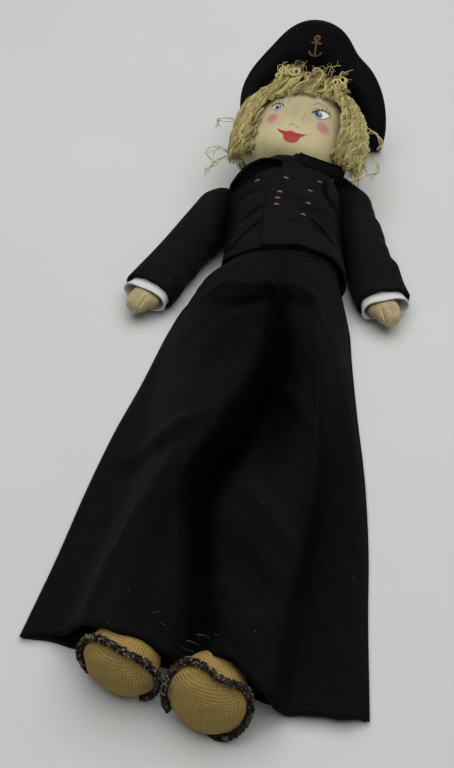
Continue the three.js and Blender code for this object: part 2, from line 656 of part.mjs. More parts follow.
function buildArm(side) {
  const outward = side === 'left' ? 1 : -1;
  const pivotX = outward * (armholeX + SHOULDER_OUTSET);
  const pivot = new THREE.Vector3(pivotX, shoulderHeight - SHOULDER_PIVOT_DROP[side], SHOULDER_RISE);
  const arm = frame(figure, pivot, outward * ARM_SPREAD[side]);
  const table = belowTable(arm);

  const size = (sizes, distance) => {
    const share = clamp(distance / SLEEVE_LENGTH, 0, 1);
    return through(sizes.shoulder, sizes.elbow, sizes.cuff, share);
  };
  const middle = (distance) => size(SLEEVE_HALF_DEPTH, distance) - REST_CUT - SHOULDER_RISE;
  const sleeveOval = (distance, inset) => {
    const beyond = clamp(-distance / (SLEEVE_HEAD[side] - inset), 0, 1);
    const share = Math.sqrt(1 - beyond * beyond * SLEEVE_CROWN);
    return oval({
      y: -distance,
      z: middle(distance),
      width: (size(SLEEVE_HALF_WIDTH, distance) - inset) * share,
      up: (size(SLEEVE_HALF_DEPTH, distance) - inset) * share,
      squareness: SLEEVE_SQUARENESS,
      sides: 18,
    });
  };
  const sleeveLoft = (from, to, inset) => {
    const distances = [...spread(from, 0, 5), ...SLEEVE_TURNS.map((turn) => turn * to)];
    return loft(distances.map((distance) => sleeveOval(distance, inset)));
  };
  const trunkSide = (clear) =>
    block(
      new THREE.Vector3(-armholeX - clear, -FAR, -FAR),
      new THREE.Vector3(armholeX + clear, FAR, FAR),
      carry(figure, arm),
    );
  const sleeve = sleeveLoft(SLEEVE_LENGTH, -SLEEVE_HEAD[side], 0)
    .subtract(sleeveLoft(SLEEVE_LENGTH + CLOTH, -SLEEVE_HEAD[side] + CLOTH, CLOTH))
    .subtract(trunkSide(0))
    .subtract(table);
  addPiece(arm, `sleeve_${side}`, sleeve, WOOL);

  const cuffFrom = SLEEVE_LENGTH + CUFF_SHOWING;
  const cuffTo = SLEEVE_LENGTH - CUFF_DEPTH;
  const cuffTube = (from, to, inset) => loft(spread(from, to, 3).map((d) => sleeveOval(d, inset)));
  const cuff = cuffTube(cuffFrom, cuffTo, CLOTH + GAP).subtract(
    cuffTube(cuffFrom + LINING, cuffTo - LINING, CLOTH + GAP + LINING),
  );
  addPiece(arm, `cuff_${side}`, cuff.subtract(table), COTTON);

  const limb = spread(ARM_LENGTH, 0, 5).map((distance) => {
    const radius = lerp(ARM_RADIUS, WRIST_RADIUS, distance / ARM_LENGTH);
    return oval({ y: -distance, z: middle(distance), width: radius, up: radius, sides: 16 });
  });
  addPiece(arm, `arm_${side}`, loft(limb).subtract(trunkSide(GAP)), SKIN);

  const handStart = ARM_LENGTH + GAP;
  const wrist = [0, WRIST_RADIUS / HAND_HALF_WIDTH, WRIST_RADIUS / HAND_HALF_DEPTH];
  const hand = [...HAND_PROFILE, wrist].map(([share, width, depth]) =>
    oval({
      y: -handStart - HAND_LENGTH * share,
      z: middle(handStart),
      width: HAND_HALF_WIDTH * width,
      up: HAND_HALF_DEPTH * depth,
      sides: 16,
    }),
  );
  addPiece(arm, `hand_${side}`, loft(hand), CANVAS);
}

/** Where a trouser leg's outer edge lies at a distance from the hip. */
function trouserEdge(side, distance) {
  const share = distance / TROUSER_LENGTH;
  return through(TROUSER_HIP_EDGE[side], TROUSER_KNEE_EDGE[side], TROUSER_HEM_EDGE[side], share);
}

const foldShares = TROUSER_FOLDS.map(([share]) => share);
const foldValues = TROUSER_FOLDS.map(([, right, left]) => [...right, ...left].flat());
const foldsAlong = new THREE.CubicInterpolant(foldShares, foldValues.flat(), foldValues[0].length);

/** Rise of the trousers' upper layer at a distance from the hip and a place across both legs. */
function trouserRise(distance, x) {
  const values = foldsAlong.evaluate(clamp(distance / TROUSER_LENGTH, 0, 1));
  const edge = { left: trouserEdge('left', distance), right: trouserEdge('right', distance) };
  const places = [-edge.right];
  const rises = [TROUSER_EDGE];
  for (let i = 0; i < values.length; i += 2) {
    places.push(values[i] * (values[i] < 0 ? edge.right : edge.left));
    rises.push(values[i + 1]);
  }
  places.push(edge.left);
  rises.push(TROUSER_EDGE);
  const [rise] = new THREE.CubicInterpolant(places, rises, 1).evaluate(x);
  return Math.max(TROUSER_EDGE, rise);
}

function buildLeg(side) {
  const outward = side === 'left' ? 1 : -1;
  const footY = -TROUSER_LENGTH - FOOT_BEYOND_HEM[side];
  const footPlace = new THREE.Vector3(FOOT_X[side], footY, FOOT_RISE);
  const foot = frame(legsFrame, footPlace, FOOT_TURN[side], FOOT_TILT);
  const ankle = new THREE.Vector3(0, FOOT_UPPER_LENGTH, 0).applyMatrix4(foot.matrix);
  const legX = (distance) => {
    const share = distance / -ankle.y;
    const bow = LEG_BOW[side] * sin(PI * clamp(share, 0, 1));
    return lerp(outward * LEG_HIP_OFFSET, ankle.x, share) + bow;
  };

  // Stuffed leg, cut square to the ankle
  const legBase = CLOTH + GAP + LEG_RADIUS;
  const legEnd = -ankle.y + ANKLE_RADIUS;
  const limb = spread(legEnd, GAP / 2, 6).map((distance) => {
    const rise = Math.max(legBase, lerp(legBase, ankle.z, distance / -ankle.y));
    return oval({ x: legX(distance), y: -distance, z: rise, width: LEG_RADIUS, up: LEG_RADIUS, sides: 18 });
  });
  const footSide = block(
    new THREE.Vector3(-FAR, -FAR, -FAR),
    new THREE.Vector3(FAR, FOOT_UPPER_LENGTH + GAP, FAR),
    foot.matrix,
  );
  addPiece(legsFrame, `leg_${side}`, loft(limb).subtract(footSide), SKIN);

  // Trouser leg: a wide flat tube whose upper layer lies in folds over the leg
  const outerShare = (distance, x) => {
    const middle = abs(legX(distance));
    return clamp((abs(x) - middle) / (trouserEdge(side, distance) - middle), 0, 1);
  };
  const section = (distance, inset) => {
    const edge = trouserEdge(side, distance) - inset;
    const seam = GAP / 2 + inset;
    const [low, high] = outward > 0 ? [seam, edge] : [-edge, -seam];
    const rise = (x) => trouserRise(distance, x) - inset;
    const top = spread(low, high, 24).map((x) => new THREE.Vector3(x, -distance, rise(x)));
    const under = spread(high, low, 6).map((x) => new THREE.Vector3(x, -distance, inset));
    return [...top, ...under];
  };
  const outside = spread(TROUSER_LENGTH, GAP / 2, 9);
  const inside = [TROUSER_LENGTH + CLOTH, ...outside, -CLOTH];
  const hollow = loft(inside.map((distance) => section(distance, CLOTH)));
  const tube = loft(outside.map((distance) => section(distance, 0))).subtract(hollow);
  const cloth = toGeometry(tube);
  const places = cloth.getAttribute('position');
  for (let i = 0; i < places.count; i += 1) {
    const distance = -places.getY(i);
    const outer = smoothstep(outerShare(distance, places.getX(i)), 0, HEM_EASING);
    places.setY(i, -distance - HEM_SWEEP[side] * (distance / TROUSER_LENGTH) ** 2 * outer);
  }
  addPiece(legsFrame, `trouser_leg_${side}`, toSolid(cloth), WOOL);

  // Foot: a bulging sole and an upper that narrows to the ankle, with a fringe along their seam
  const table = belowTable(foot);
  const footOval = (y, radius) =>
    oval({ y, width: radius, up: radius * FOOT_HEIGHT_SHARE, sides: ROUND });
  const sole = SOLE_SECTIONS.map((share) =>
    footOval(-SOLE_DEPTH * share, FOOT_RADIUS * Math.sqrt(1 - share * share)),
  );
  sole.push(footOval(-GAP / 2, FOOT_RADIUS));
  addPiece(foot, `foot_sole_${side}`, loft(sole).subtract(table), BURLAP);
  const upper = spread(0, 1, 5).map((share) => {
    const bulge = cos((share * PI) / 2) ** FOOT_BULGE;
    return footOval(lerp(GAP / 2, FOOT_UPPER_LENGTH, share), lerp(ANKLE_RADIUS, FOOT_RADIUS, bulge));
  });
  const hemLayer = block(
    new THREE.Vector3(-FAR, -TROUSER_LENGTH - HEM_SWEEP[side] - GAP, -FAR),
    new THREE.Vector3(FAR, FAR, CLOTH + GAP),
    carry(legsFrame, foot),
  );
  addPiece(foot, `foot_upper_${side}`, loft(upper).subtract(table).subtract(hemLayer), BURLAP);
  const reach = FOOT_RADIUS + GAP + TRIM_RADIUS;
  const opening = degToRad(TRIM_OPENING);
  const path = spread(-PI / 2 + opening, (3 * PI) / 2 - opening, 24).map((turn) => {
    const rise = (reach + FOOT_RADIUS * (FOOT_HEIGHT_SHARE - 1)) * sin(turn);
    return new THREE.Vector3(reach * cos(turn), 0, rise);
  });
  const trim = stroke(new THREE.CatmullRomCurve3(path), TRIM_RADIUS, 28, 8);
  addPiece(foot, `sole_trim_${side}`, trim.subtract(table), CHENILLE);
}

buildTorso();
buildHipTrousers();
buildJacket();
buildPockets();
buildButtons();
buildHead();
buildHair();
buildCap();
buildAnchor();
for (const side of ['left', 'right']) {
  buildArm(side);
  buildLeg(side);
}

export default doll;
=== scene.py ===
"""Sailor doll: a long-limbed stuffed cloth figure in a wool suit, lying on its back.

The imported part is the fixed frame. Every soft solid is replaced here by the cloth, stuffing,
hair or thread that it stands for. Shapes are written in millimetres in the row frame (X to the
doll's left, Y from its soles to its cap, Z up from the table) and become metres when a mesh is made.
"""

from __future__ import annotations

import json
import logging
import math
from dataclasses import dataclass
from enum import Enum
from typing import Any, Callable, Iterable, Sequence

import bpy
import numpy as np
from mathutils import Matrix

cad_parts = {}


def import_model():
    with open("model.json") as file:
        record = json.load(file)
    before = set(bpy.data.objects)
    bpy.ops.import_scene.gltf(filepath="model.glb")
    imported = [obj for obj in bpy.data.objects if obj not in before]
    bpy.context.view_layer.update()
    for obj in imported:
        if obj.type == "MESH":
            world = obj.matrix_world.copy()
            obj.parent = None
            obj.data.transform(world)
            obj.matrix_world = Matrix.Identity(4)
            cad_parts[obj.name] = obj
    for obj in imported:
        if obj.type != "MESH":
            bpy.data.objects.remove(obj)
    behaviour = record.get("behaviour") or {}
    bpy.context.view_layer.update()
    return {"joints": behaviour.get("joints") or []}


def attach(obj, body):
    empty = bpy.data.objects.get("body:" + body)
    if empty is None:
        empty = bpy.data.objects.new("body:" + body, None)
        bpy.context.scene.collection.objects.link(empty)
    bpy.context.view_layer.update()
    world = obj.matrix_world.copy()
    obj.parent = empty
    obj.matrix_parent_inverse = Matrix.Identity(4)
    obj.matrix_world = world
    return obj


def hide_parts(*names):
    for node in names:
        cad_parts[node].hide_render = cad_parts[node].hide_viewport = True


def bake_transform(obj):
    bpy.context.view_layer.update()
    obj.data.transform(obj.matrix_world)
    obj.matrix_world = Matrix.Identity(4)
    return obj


LOG = logging.getLogger("sailor_doll")

Points = np.ndarray
Shape = Callable[[Points, Points], Points]
Place = tuple[float, float, float]
Spot = tuple[float, float]
MeshObject = bpy.types.Object
Socket = bpy.types.NodeSocket
Tree = bpy.types.NodeTree

MM = 0.001
LOOK = "look_"  # starts the name of each visible piece, before the name of its node

# Heights of the trunk above the middle of the jacket's back, and its girth
HIP_Y = -51.0
SHOULDER_Y = 30.0
COLLAR_Y = 46.0
HIP_HALF_WIDTH = 33.0
CHEST_HALF_WIDTH = 33.5
TRUNK_HALF_DEPTH = 18.6
TRUNK_RISE = 22.5
NECK_RADIUS = 12.0
NECK_LEAN = 9.0
SHOULDER_ROUNDING = 1.3
TRUNK_SQUARENESS = 2.4
NECK_MIDDLE = (0.0, 40.0, 30.0)  # the collar rolls away from here
JACKET_GROW = 4.4  # outside of the jacket round the stuffed trunk
CREASE = 0.9  # share of the drape folds that the jacket takes
LAP_GROW = 2.4  # the left front stands this far over the right one

# Cloth
WOOL_THICKNESS = 1.8
BAND_THICKNESS = 1.5
COLLAR_THICKNESS = 2.6
WELT_THICKNESS = 0.7
LINING_THICKNESS = 1.0
WIG_THICKNESS = 0.9
TABLE_CLEARANCE = 0.25
SEAM_REACH = 0.02  # points this close, where a sheet meets itself, become one
LOOP_STEPS = 8  # stretches of a short thread
HEM = "Hem"  # the vertex group where a cloth is turned up


class Side(Enum):
    """The doll's own left and right, as the sign of X."""

    LEFT = 1
    RIGHT = -1

    @property
    def word(self) -> str:
        """The side as it stands in node and body names."""
        return self.name.lower()


class Slot(Enum):
    """The record's material slots."""

    WOOL = "wool"
    SKIN = "skin_cloth"
    CANVAS = "canvas"
    HAIR = "hair"
    BURLAP = "burlap"
    CHENILLE = "chenille"
    COTTON = "cotton"
    THREAD = "thread"


class Held(Enum):
    """How a sheet of cloth is held."""

    DRAPED = "draped"
    GATHERED = "gathered"
    FOLDED = "folded"
    STRETCHED = "stretched"


# Numbers and curves


def smooth(low: float, high: float, value: Points) -> Points:
    """Eases from 0 at low to 1 at high.

    Args:
        low: Where the easing starts.
        high: Where it ends.
        value: Places to read.

    Returns:
        Shares from 0 to 1.
    """
    share = np.clip((value - low) / (high - low), 0, 1)
    return share * share * (3 - 2 * share)


def mix(start: Points, end: Points, share: Points) -> Points:
    """Goes from start to end by a share."""
    return start + (end - start) * share


def power(value: Points, exponent: float) -> Points:
    """Signed power, for squarish rounds."""
    return np.sign(value) * np.abs(value) ** exponent


def hump(value: Points, middle: float, width: float) -> Points:
    """A soft hump of height 1."""
    return np.exp(-(((value - middle) / width) ** 2))


def from_pole(share: Points) -> Points:
    """Share of a stuffed form's axis at a share of the way over its side from end to end."""
    return (1 - np.cos(share * math.pi)) / 2


def closing(share: Points, bluntness: int) -> Points:
    """Share of a stuffed form's girth, which closes at both ends."""
    return (1 - np.abs(2 * share - 1) ** bluntness) ** 0.5


def above(points: Points, height: float) -> Points:
    """Keeps points from sinking under a height."""
    points[:, 2] = np.maximum(points[:, 2], height)
    return points


def through(values: Points, at: Points) -> Points:
    """Reads a curve that passes through evenly spaced values without overshooting them.

    Args:
        values: One row per knot, each a point or a row of points.
        at: Places along the curve from 0 to 1, one per point read.

    Returns:
        One point for each place.
    """
    last = len(values) - 1
    place = np.clip(at, 0, 1) * last
    index = np.minimum(place.astype(int), last - 1)
    step = np.diff(values, axis=0)
    both = step[:-1] + step[1:]
    same_way = step[:-1] * step[1:] > 0
    middle = np.where(same_way, 2 * step[:-1] * step[1:] / np.where(same_way, both, 1), 0)
    slope = np.concatenate([step[:1], middle, step[-1:]])
    rows = (index,) if values.ndim == 2 else (index, np.arange(len(index)))
    next_rows = (index + 1,) + rows[1:]
    t = (place - index)[:, None]
    return (
        values[rows] * (2 * t**3 - 3 * t**2 + 1)
        + slope[rows] * (t**3 - 2 * t**2 + t)
        + values[next_rows] * (3 * t**2 - 2 * t**3)
        + slope[next_rows] * (t**3 - t**2)
    )


def curve(points: Sequence[Sequence[float]], steps: int) -> Points:
    """A smooth open curve through a few points, with rounded turns.

    Args:
        points: The points that the curve passes through.
        steps: How many stretches it is cut into.

    Returns:
        The points of the curve.
    """
    knots = np.array(points, float)
    padded = np.vstack([2 * knots[0] - knots[1], knots, 2 * knots[-1] - knots[-2]])
    place = np.linspace(0, len(knots) - 1, steps + 1)
    index = np.minimum(place.astype(int), len(knots) - 2)
    t = (place - index)[:, None]
    a, b, c, d = (padded[index + k] for k in range(4))
    return 0.5 * (
        2 * b + (c - a) * t + (2 * a - 5 * b + 4 * c - d) * t**2 + (3 * b - a - 3 * c + d) * t**3
    )


def ripple(points: Points, wavelength: float, seed: int, waves: int = 8) -> Points:
    """Soft irregular waves of about unit height.

    Args:
        points: Where to read them, in millimetres.
        wavelength: Mean distance between crests.
        seed: Chooses the pattern.
        waves: How many plain waves are added.

    Returns:
        One height per point.
    """
    dice = np.random.default_rng(seed)
    total = np.zeros(len(points))
    for _ in range(waves):
        direction = dice.normal(size=points.shape[1])
        direction *= 2 * math.pi / (wavelength * dice.uniform(0.7, 1.5) * np.linalg.norm(direction))
        total += np.sin(points @ direction + dice.uniform(0, 2 * math.pi))
    return total / math.sqrt(waves)


def off_path(points: Points, path: Points) -> tuple[Points, Points]:
    """Distance from each point to a path, and how far along the path that is.

    Args:
        points: Places on a flat drawing.
        path: The path's points on it.

    Returns:
        Distances, and shares of the path from 0 to 1.
    """
    nearest = np.full(len(points), np.inf)
    along = np.zeros(len(points))
    count = len(path) - 1
    for i in range(count):
        run = path[i + 1] - path[i]
        share = np.clip((points - path[i]) @ run / max(run @ run, 1e-9), 0, 1)
        distance = np.linalg.norm(points - path[i] - share[:, None] * run, axis=1)
        closer = distance < nearest
        nearest = np.where(closer, distance, nearest)
        along = np.where(closer, (i + share) / count, along)
    return nearest, along


@dataclass(frozen=True)
class Frame:
    """A limb's own frame, turned in degrees about X by its tilt and then about Z by its turn."""

    origin: Place
    turn: float = 0.0
    tilt: float = 0.0

    def matrix(self) -> Points:
        """The turn as a matrix."""
        tilt, turn = math.radians(self.tilt), math.radians(self.turn)
        about_x = [[1, 0, 0], [0, math.cos(tilt), -math.sin(tilt)], [0, math.sin(tilt), math.cos(tilt)]]
        about_z = [[math.cos(turn), -math.sin(turn), 0], [math.sin(turn), math.cos(turn), 0], [0, 0, 1]]
        return np.array(about_z) @ np.array(about_x)

    def place(self, local: Points) -> Points:
        """Carries points out of this frame."""
        return local @ self.matrix().T + np.array(self.origin)

    def inside(self, points: Points) -> Points:
        """Carries points into this frame."""
        return (points - np.array(self.origin)) @ self.matrix()


# Meshes


def deselect() -> None:
    """Leaves nothing selected, so that an operator acts on the new piece alone."""
    if bpy.context.object and bpy.context.object.mode != "OBJECT":
        bpy.ops.object.mode_set(mode="OBJECT")
    bpy.ops.object.select_all(action="DESELECT")


def take(piece: MeshObject) -> None:
    """Makes a piece the only selected and active one."""
    deselect()
    piece.select_set(True)
    bpy.context.view_layer.objects.active = piece


def read(piece: MeshObject) -> Points:
    """A mesh's vertices in millimetres."""
    flat = np.empty(len(piece.data.vertices) * 3)
    piece.data.vertices.foreach_get("co", flat)
    return flat.reshape(-1, 3) / MM


def write(piece: MeshObject, points: Points) -> None:
    """Moves a mesh's vertices to points in millimetres."""
    piece.data.vertices.foreach_set("co", (points * MM).ravel())
    piece.data.update()


def set_uv(piece: MeshObject, uv: Points) -> None:
    """Gives each vertex a place on the flat cloth, in millimetres, for weaves that follow it.

    Args:
        piece: The mesh.
        uv: One flat place per vertex.
    """
    layer = piece.data.uv_layers.active or piece.data.uv_layers.new(name="UVMap")
    corners = np.empty(len(piece.data.loops), np.int32)
    piece.data.loops.foreach_get("vertex_index", corners)
    layer.data.foreach_set("uv", uv[corners].astype(np.float32).ravel())


def set_attribute(piece: MeshObject, name: str, values: Points) -> None:
    """Stores a number or a colour per vertex for a material to read.

    Args:
        piece: The mesh.
        name: The attribute's name.
        values: One number, or four for a colour, per vertex.
    """
    colour = values.ndim == 2
    attribute = piece.data.attributes.new(name, "FLOAT_COLOR" if colour else "FLOAT", "POINT")
    attribute.data.foreach_set("color" if colour else "value", values.astype(np.float32).ravel())


def change(piece: MeshObject, kind: str, **settings: Any) -> None:
    """Adds a modifier to a piece and applies it.

    Args:
        piece: The mesh.
        kind: The modifier's type.
        **settings: Its settings.
    """
    take(piece)
    modifier = piece.modifiers.new(kind.title(), kind)
    for name, value in settings.items():
        setattr(modifier, name, value)
    bpy.ops.object.modifier_apply(modifier=modifier.name)


def mark_hem(piece: MeshObject, turned: Points) -> None:
    """Marks the vertices of a turned-up hem."""
    piece.vertex_groups.new(name=HEM).add(np.nonzero(turned)[0].tolist(), 1.0, "REPLACE")


def thicken(piece: MeshObject, thickness: float, hem: float = 1.0) -> None:
    """Gives a sheet its thickness, inwards from its outside.

    Args:
        piece: The sheet, with its normals outwards.
        thickness: Thickness of the single cloth in millimetres.
        hem: How many times thicker the cloth is where its hem is marked.
    """
    settings: dict[str, Any] = {"thickness": thickness * hem * MM, "offset": -1.0}
    if HEM in piece.vertex_groups:
        settings |= {"vertex_group": HEM, "thickness_vertex_group": 1 / hem}
    change(piece, "SOLIDIFY", **settings)


def edit(piece: MeshObject, operator: Callable[..., Any], **settings: Any) -> None:
    """Runs an operator on all of a mesh in edit mode.

    Args:
        piece: The mesh.
        operator: The operator.
        **settings: Its settings.
    """
    take(piece)
    bpy.ops.object.mode_set(mode="EDIT")
    bpy.ops.mesh.select_all(action="SELECT")
    operator(**settings)
    bpy.ops.object.mode_set(mode="OBJECT")


def flip(piece: MeshObject) -> None:
    """Turns a sheet's faces over."""
    edit(piece, bpy.ops.mesh.flip_normals)


def begin(name: str, operator: Callable[..., Any], **settings: Any) -> MeshObject:
    """Adds a primitive and names it as the look of a node.

    Args:
        name: The piece's name, without the start that all looks share.
        operator: The operator that adds it.
        **settings: The operator's settings.

    Returns:
        The new piece.
    """
    deselect()
    operator(**settings)
    piece = bpy.context.object
    piece.name = LOOK + name
    piece.data.name = name
    return piece


def cut_sheet(name: str, columns: int, rows: int, shape: Shape, turned: bool = False) -> MeshObject:
    """A sheet of cloth laid out as a grid and moved into shape.

    Args:
        name: The piece's name.
        columns: Faces across.
        rows: Faces along.
        shape: Gives the place in millimetres for shares across and along.
        turned: True where the shape's own order makes the faces point inwards.

    Returns:
        The sheet, with its flat size in its UV map.
    """
    grid = {"x_subdivisions": columns, "y_subdivisions": rows, "size": 1}
    piece = begin(name, bpy.ops.mesh.primitive_grid_add, **grid)
    flat = read(piece) * MM + 0.5
    points = shape(flat[:, 0], flat[:, 1])
    write(piece, points)
    order = np.lexsort((flat[:, 0].round(6), flat[:, 1].round(6)))
    net = points[order].reshape(rows + 1, columns + 1, 3)
    width = np.linalg.norm(np.diff(net, axis=1), axis=2).sum(1).mean()
    length = np.linalg.norm(np.diff(net, axis=0), axis=2).sum(0).mean()
    set_uv(piece, flat[:, :2] * (width, length))
    edit(piece, bpy.ops.mesh.remove_doubles, threshold=SEAM_REACH * MM)
    if turned:
        flip(piece)
    return piece


def stuffed(name: str, around: int, along: int, shape: Shape) -> MeshObject:
    """A stuffed form: a sphere whose rings are moved into shape.

    Args:
        name: The piece's name.
        around: Faces around.
        along: Faces from end to end.
        shape: Gives the place in millimetres for turns around, in radians, and shares along.

    Returns:
        The closed form.
    """
    ball = {"segments": around, "ring_count": along, "radius": 1}
    piece = begin(name, bpy.ops.mesh.primitive_uv_sphere_add, **ball)
    x, y, z = (read(piece) * MM).T
    write(piece, shape(np.arctan2(y, x), np.arccos(np.clip(-z, -1, 1)) / math.pi))
    edit(piece, bpy.ops.mesh.normals_make_consistent, inside=False)
    return piece


@dataclass(frozen=True)
class Strand:
    """One thread or lock of hair: its points, its radius at each and its tone from 0 to 1."""

    points: Points
    radius: Points
    tone: float


def lay_strands(name: str, strands: Sequence[Strand]) -> MeshObject:
    """Lays strands with the same number of points as one mesh of thin tubes.

    Args:
        name: The piece's name.
        strands: The strands.

    Returns:
        The mesh, with each strand's tone in its Tone attribute and its length in Run.
    """
    piece = begin(name, bpy.ops.curve.primitive_bezier_curve_add)
    line = piece.data
    line.splines.clear()
    line.dimensions = "3D"
    line.bevel_mode = "ROUND"
    line.bevel_depth = MM
    line.bevel_resolution = 0
    for strand in strands:
        spline = line.splines.new("POLY")
        spline.points.add(len(strand.points) - 1)
        homogeneous = np.hstack([strand.points * MM, np.ones((len(strand.points), 1))])
        spline.points.foreach_set("co", homogeneous.ravel())
        spline.points.foreach_set("radius", strand.radius)
    take(piece)
    bpy.ops.object.convert(target="MESH")
    piece = bpy.context.object
    piece.data.name = name
    edit(piece, bpy.ops.mesh.fill_holes, sides=4)
    steps = len(strands[0].points)
    sides = len(piece.data.vertices) // (steps * len(strands))
    set_attribute(piece, "Tone", np.repeat([strand.tone for strand in strands], steps * sides))
    set_attribute(piece, "Run", np.tile(np.repeat(np.linspace(0, 1, steps), sides), len(strands)))
    return piece


def combine(name: str, pieces: Sequence[MeshObject]) -> MeshObject:
    """Joins meshes into one piece.

    Args:
        name: The joined piece's name.
        pieces: The meshes.

    Returns:
        The joined piece.
    """
    deselect()
    for piece in pieces:
        piece.select_set(True)
    bpy.context.view_layer.objects.active = pieces[0]
    bpy.ops.object.join()
    pieces[0].name = LOOK + name
    return pieces[0]


# Materials


def linear(code: str) -> tuple[float, float, float, float]:
    """An sRGB hex colour as linear red, green, blue and alpha."""
    parts = [int(code[i : i + 2], 16) / 255 for i in (1, 3, 5)]
    red, green, blue = (p / 12.92 if p <= 0.04045 else ((p + 0.055) / 1.055) ** 2.4 for p in parts)
    return red, green, blue, 1.0


def add_node(
    tree: Tree,
    kind: str,
    settings: dict[str | int, Any] | None = None,
    links: dict[str | int, Socket] | None = None,
) -> bpy.types.Node:
    """Adds a node with its settings and links.

    Args:
        tree: The material's nodes.
        kind: The node's type.
        settings: Values for inputs, by name or number, or for the node's own fields.
        links: Output sockets for inputs.

    Returns:
        The node.
    """
    node = tree.nodes.new(kind)
    for name, value in (settings or {}).items():
        if isinstance(name, int) or name in node.inputs:
            node.inputs[name].default_value = value
        else:
            setattr(node, name, value)
    for name, socket in (links or {}).items():
        tree.links.new(socket, node.inputs[name])
    return node


# A wave texture of scale 1 repeats every 20th part of a full turn
WAVE_REPEAT = 2 * math.pi / 20


@dataclass(frozen=True)
class Coat:
    """A finished material and the record's slot for it."""

    material: bpy.types.Material
    slot: Slot | None


@dataclass(frozen=True)
class Finish:
    """A surface: what it is made of and how light meets it."""

    name: str
    slot: Slot | None
    roughness: float
    specular: float = 0.3
    sheen: float = 0.0
    sheen_tint: str = "#ffffff"

    def make(self) -> bpy.types.Material:
        """Builds the material, which each kind of finish does in its own way."""
        raise NotImplementedError

    def coat(self) -> Coat:
        """The finished material with its slot."""
        return Coat(self.make(), self.slot)

    def start(self) -> tuple[bpy.types.Material, Tree, bpy.types.Node]:
        """A new material with its shader's plain settings.

        Returns:
            The material, its nodes and its shader.
        """
        material = bpy.data.materials.new(self.name)
        material.use_nodes = True
        tree = material.node_tree
        shader = tree.nodes["Principled BSDF"]
        for name, value in (
            ("Roughness", self.roughness),
            ("Specular IOR Level", self.specular),
            ("Sheen Weight", self.sheen),
            ("Sheen Tint", linear(self.sheen_tint)),
        ):
            shader.inputs[name].default_value = value
        return material, tree, shader

    def millimetres(self, tree: Tree, space: str = "Object") -> Socket:
        """Places in millimetres: in the piece's space, or on its flat cloth where space is UV."""
        source = add_node(tree, "ShaderNodeTexCoord")
        scale = 1.0 if space == "UV" else 1 / MM
        settings = {"Scale": (scale, scale, scale)}
        return add_node(tree, "ShaderNodeMapping", settings, {"Vector": source.outputs[space]}).outputs[0]

    def blotches(
        self, tree: Tree, places: Socket, size: float, detail: float = 3.0
    ) -> Socket:
        """Soft noise whose blotches are about size millimetres across."""
        settings = {"Scale": 1 / size, "Detail": detail, "Roughness": 0.6}
        return add_node(tree, "ShaderNodeTexNoise", settings, {"Vector": places}).outputs["Fac"]

    def remap(
        self,
        tree: Tree,
        value: Socket,
        span: tuple[float, float],
        to: tuple[float, float] = (0.0, 1.0),
    ) -> Socket:
        """A value spread from one span to another and clamped there."""
        settings = {"From Min": span[0], "From Max": span[1], "To Min": to[0], "To Max": to[1]}
        return add_node(tree, "ShaderNodeMapRange", settings, {"Value": value}).outputs[0]

    def colours(
        self,
        tree: Tree,
        share: Socket,
        first: str | Socket,
        second: str | Socket,
        blend: str = "MIX",
    ) -> Socket:
        """Mixes two colours, each a hex value or a socket, by a share."""
        settings: dict[str | int, Any] = {"blend_type": blend}
        links: dict[str | int, Socket] = {"Fac": share}
        for socket, colour in (("Color1", first), ("Color2", second)):
            if isinstance(colour, str):
                settings[socket] = linear(colour)
            else:
                links[socket] = colour
        return add_node(tree, "ShaderNodeMixRGB", settings, links).outputs[0]

    def emboss(
        self, tree: Tree, shader: bpy.types.Node, height: Socket, depth: float
    ) -> None:
        """Bumps the surface by a height from 0 to 1 over a depth in millimetres."""
        settings = {"Strength": 1.0, "Distance": depth * MM}
        bump = add_node(tree, "ShaderNodeBump", settings, {"Height": height})
        tree.links.new(bump.outputs[0], shader.inputs["Normal"])

    def plus(
        self, tree: Tree, first: Socket, second: Socket, share: float
    ) -> Socket:
        """The first value plus a share of the second."""
        settings = {"operation": "MULTIPLY_ADD", 1: share}
        return add_node(tree, "ShaderNodeMath", settings, {0: second, 2: first}).outputs[0]

    def weave(
        self, tree: Tree, places: Socket, pitch: float, wander: float
    ) -> Socket:
        """Height of a plain weave with threads a pitch apart, which wander a little."""
        bands = []
        for direction in ("X", "Y"):
            settings = {
                "wave_type": "BANDS",
                "bands_direction": direction,
                "Scale": WAVE_REPEAT / pitch,
                "Distortion": wander,
                "Detail": 2.0,
                "Detail Scale": 0.8,
            }
            bands.append(add_node(tree, "ShaderNodeTexWave", settings, {"Vector": places}).outputs["Fac"])
        return add_node(tree, "ShaderNodeMath", {"operation": "MULTIPLY"}, {0: bands[0], 1: bands[1]}).outputs[0]


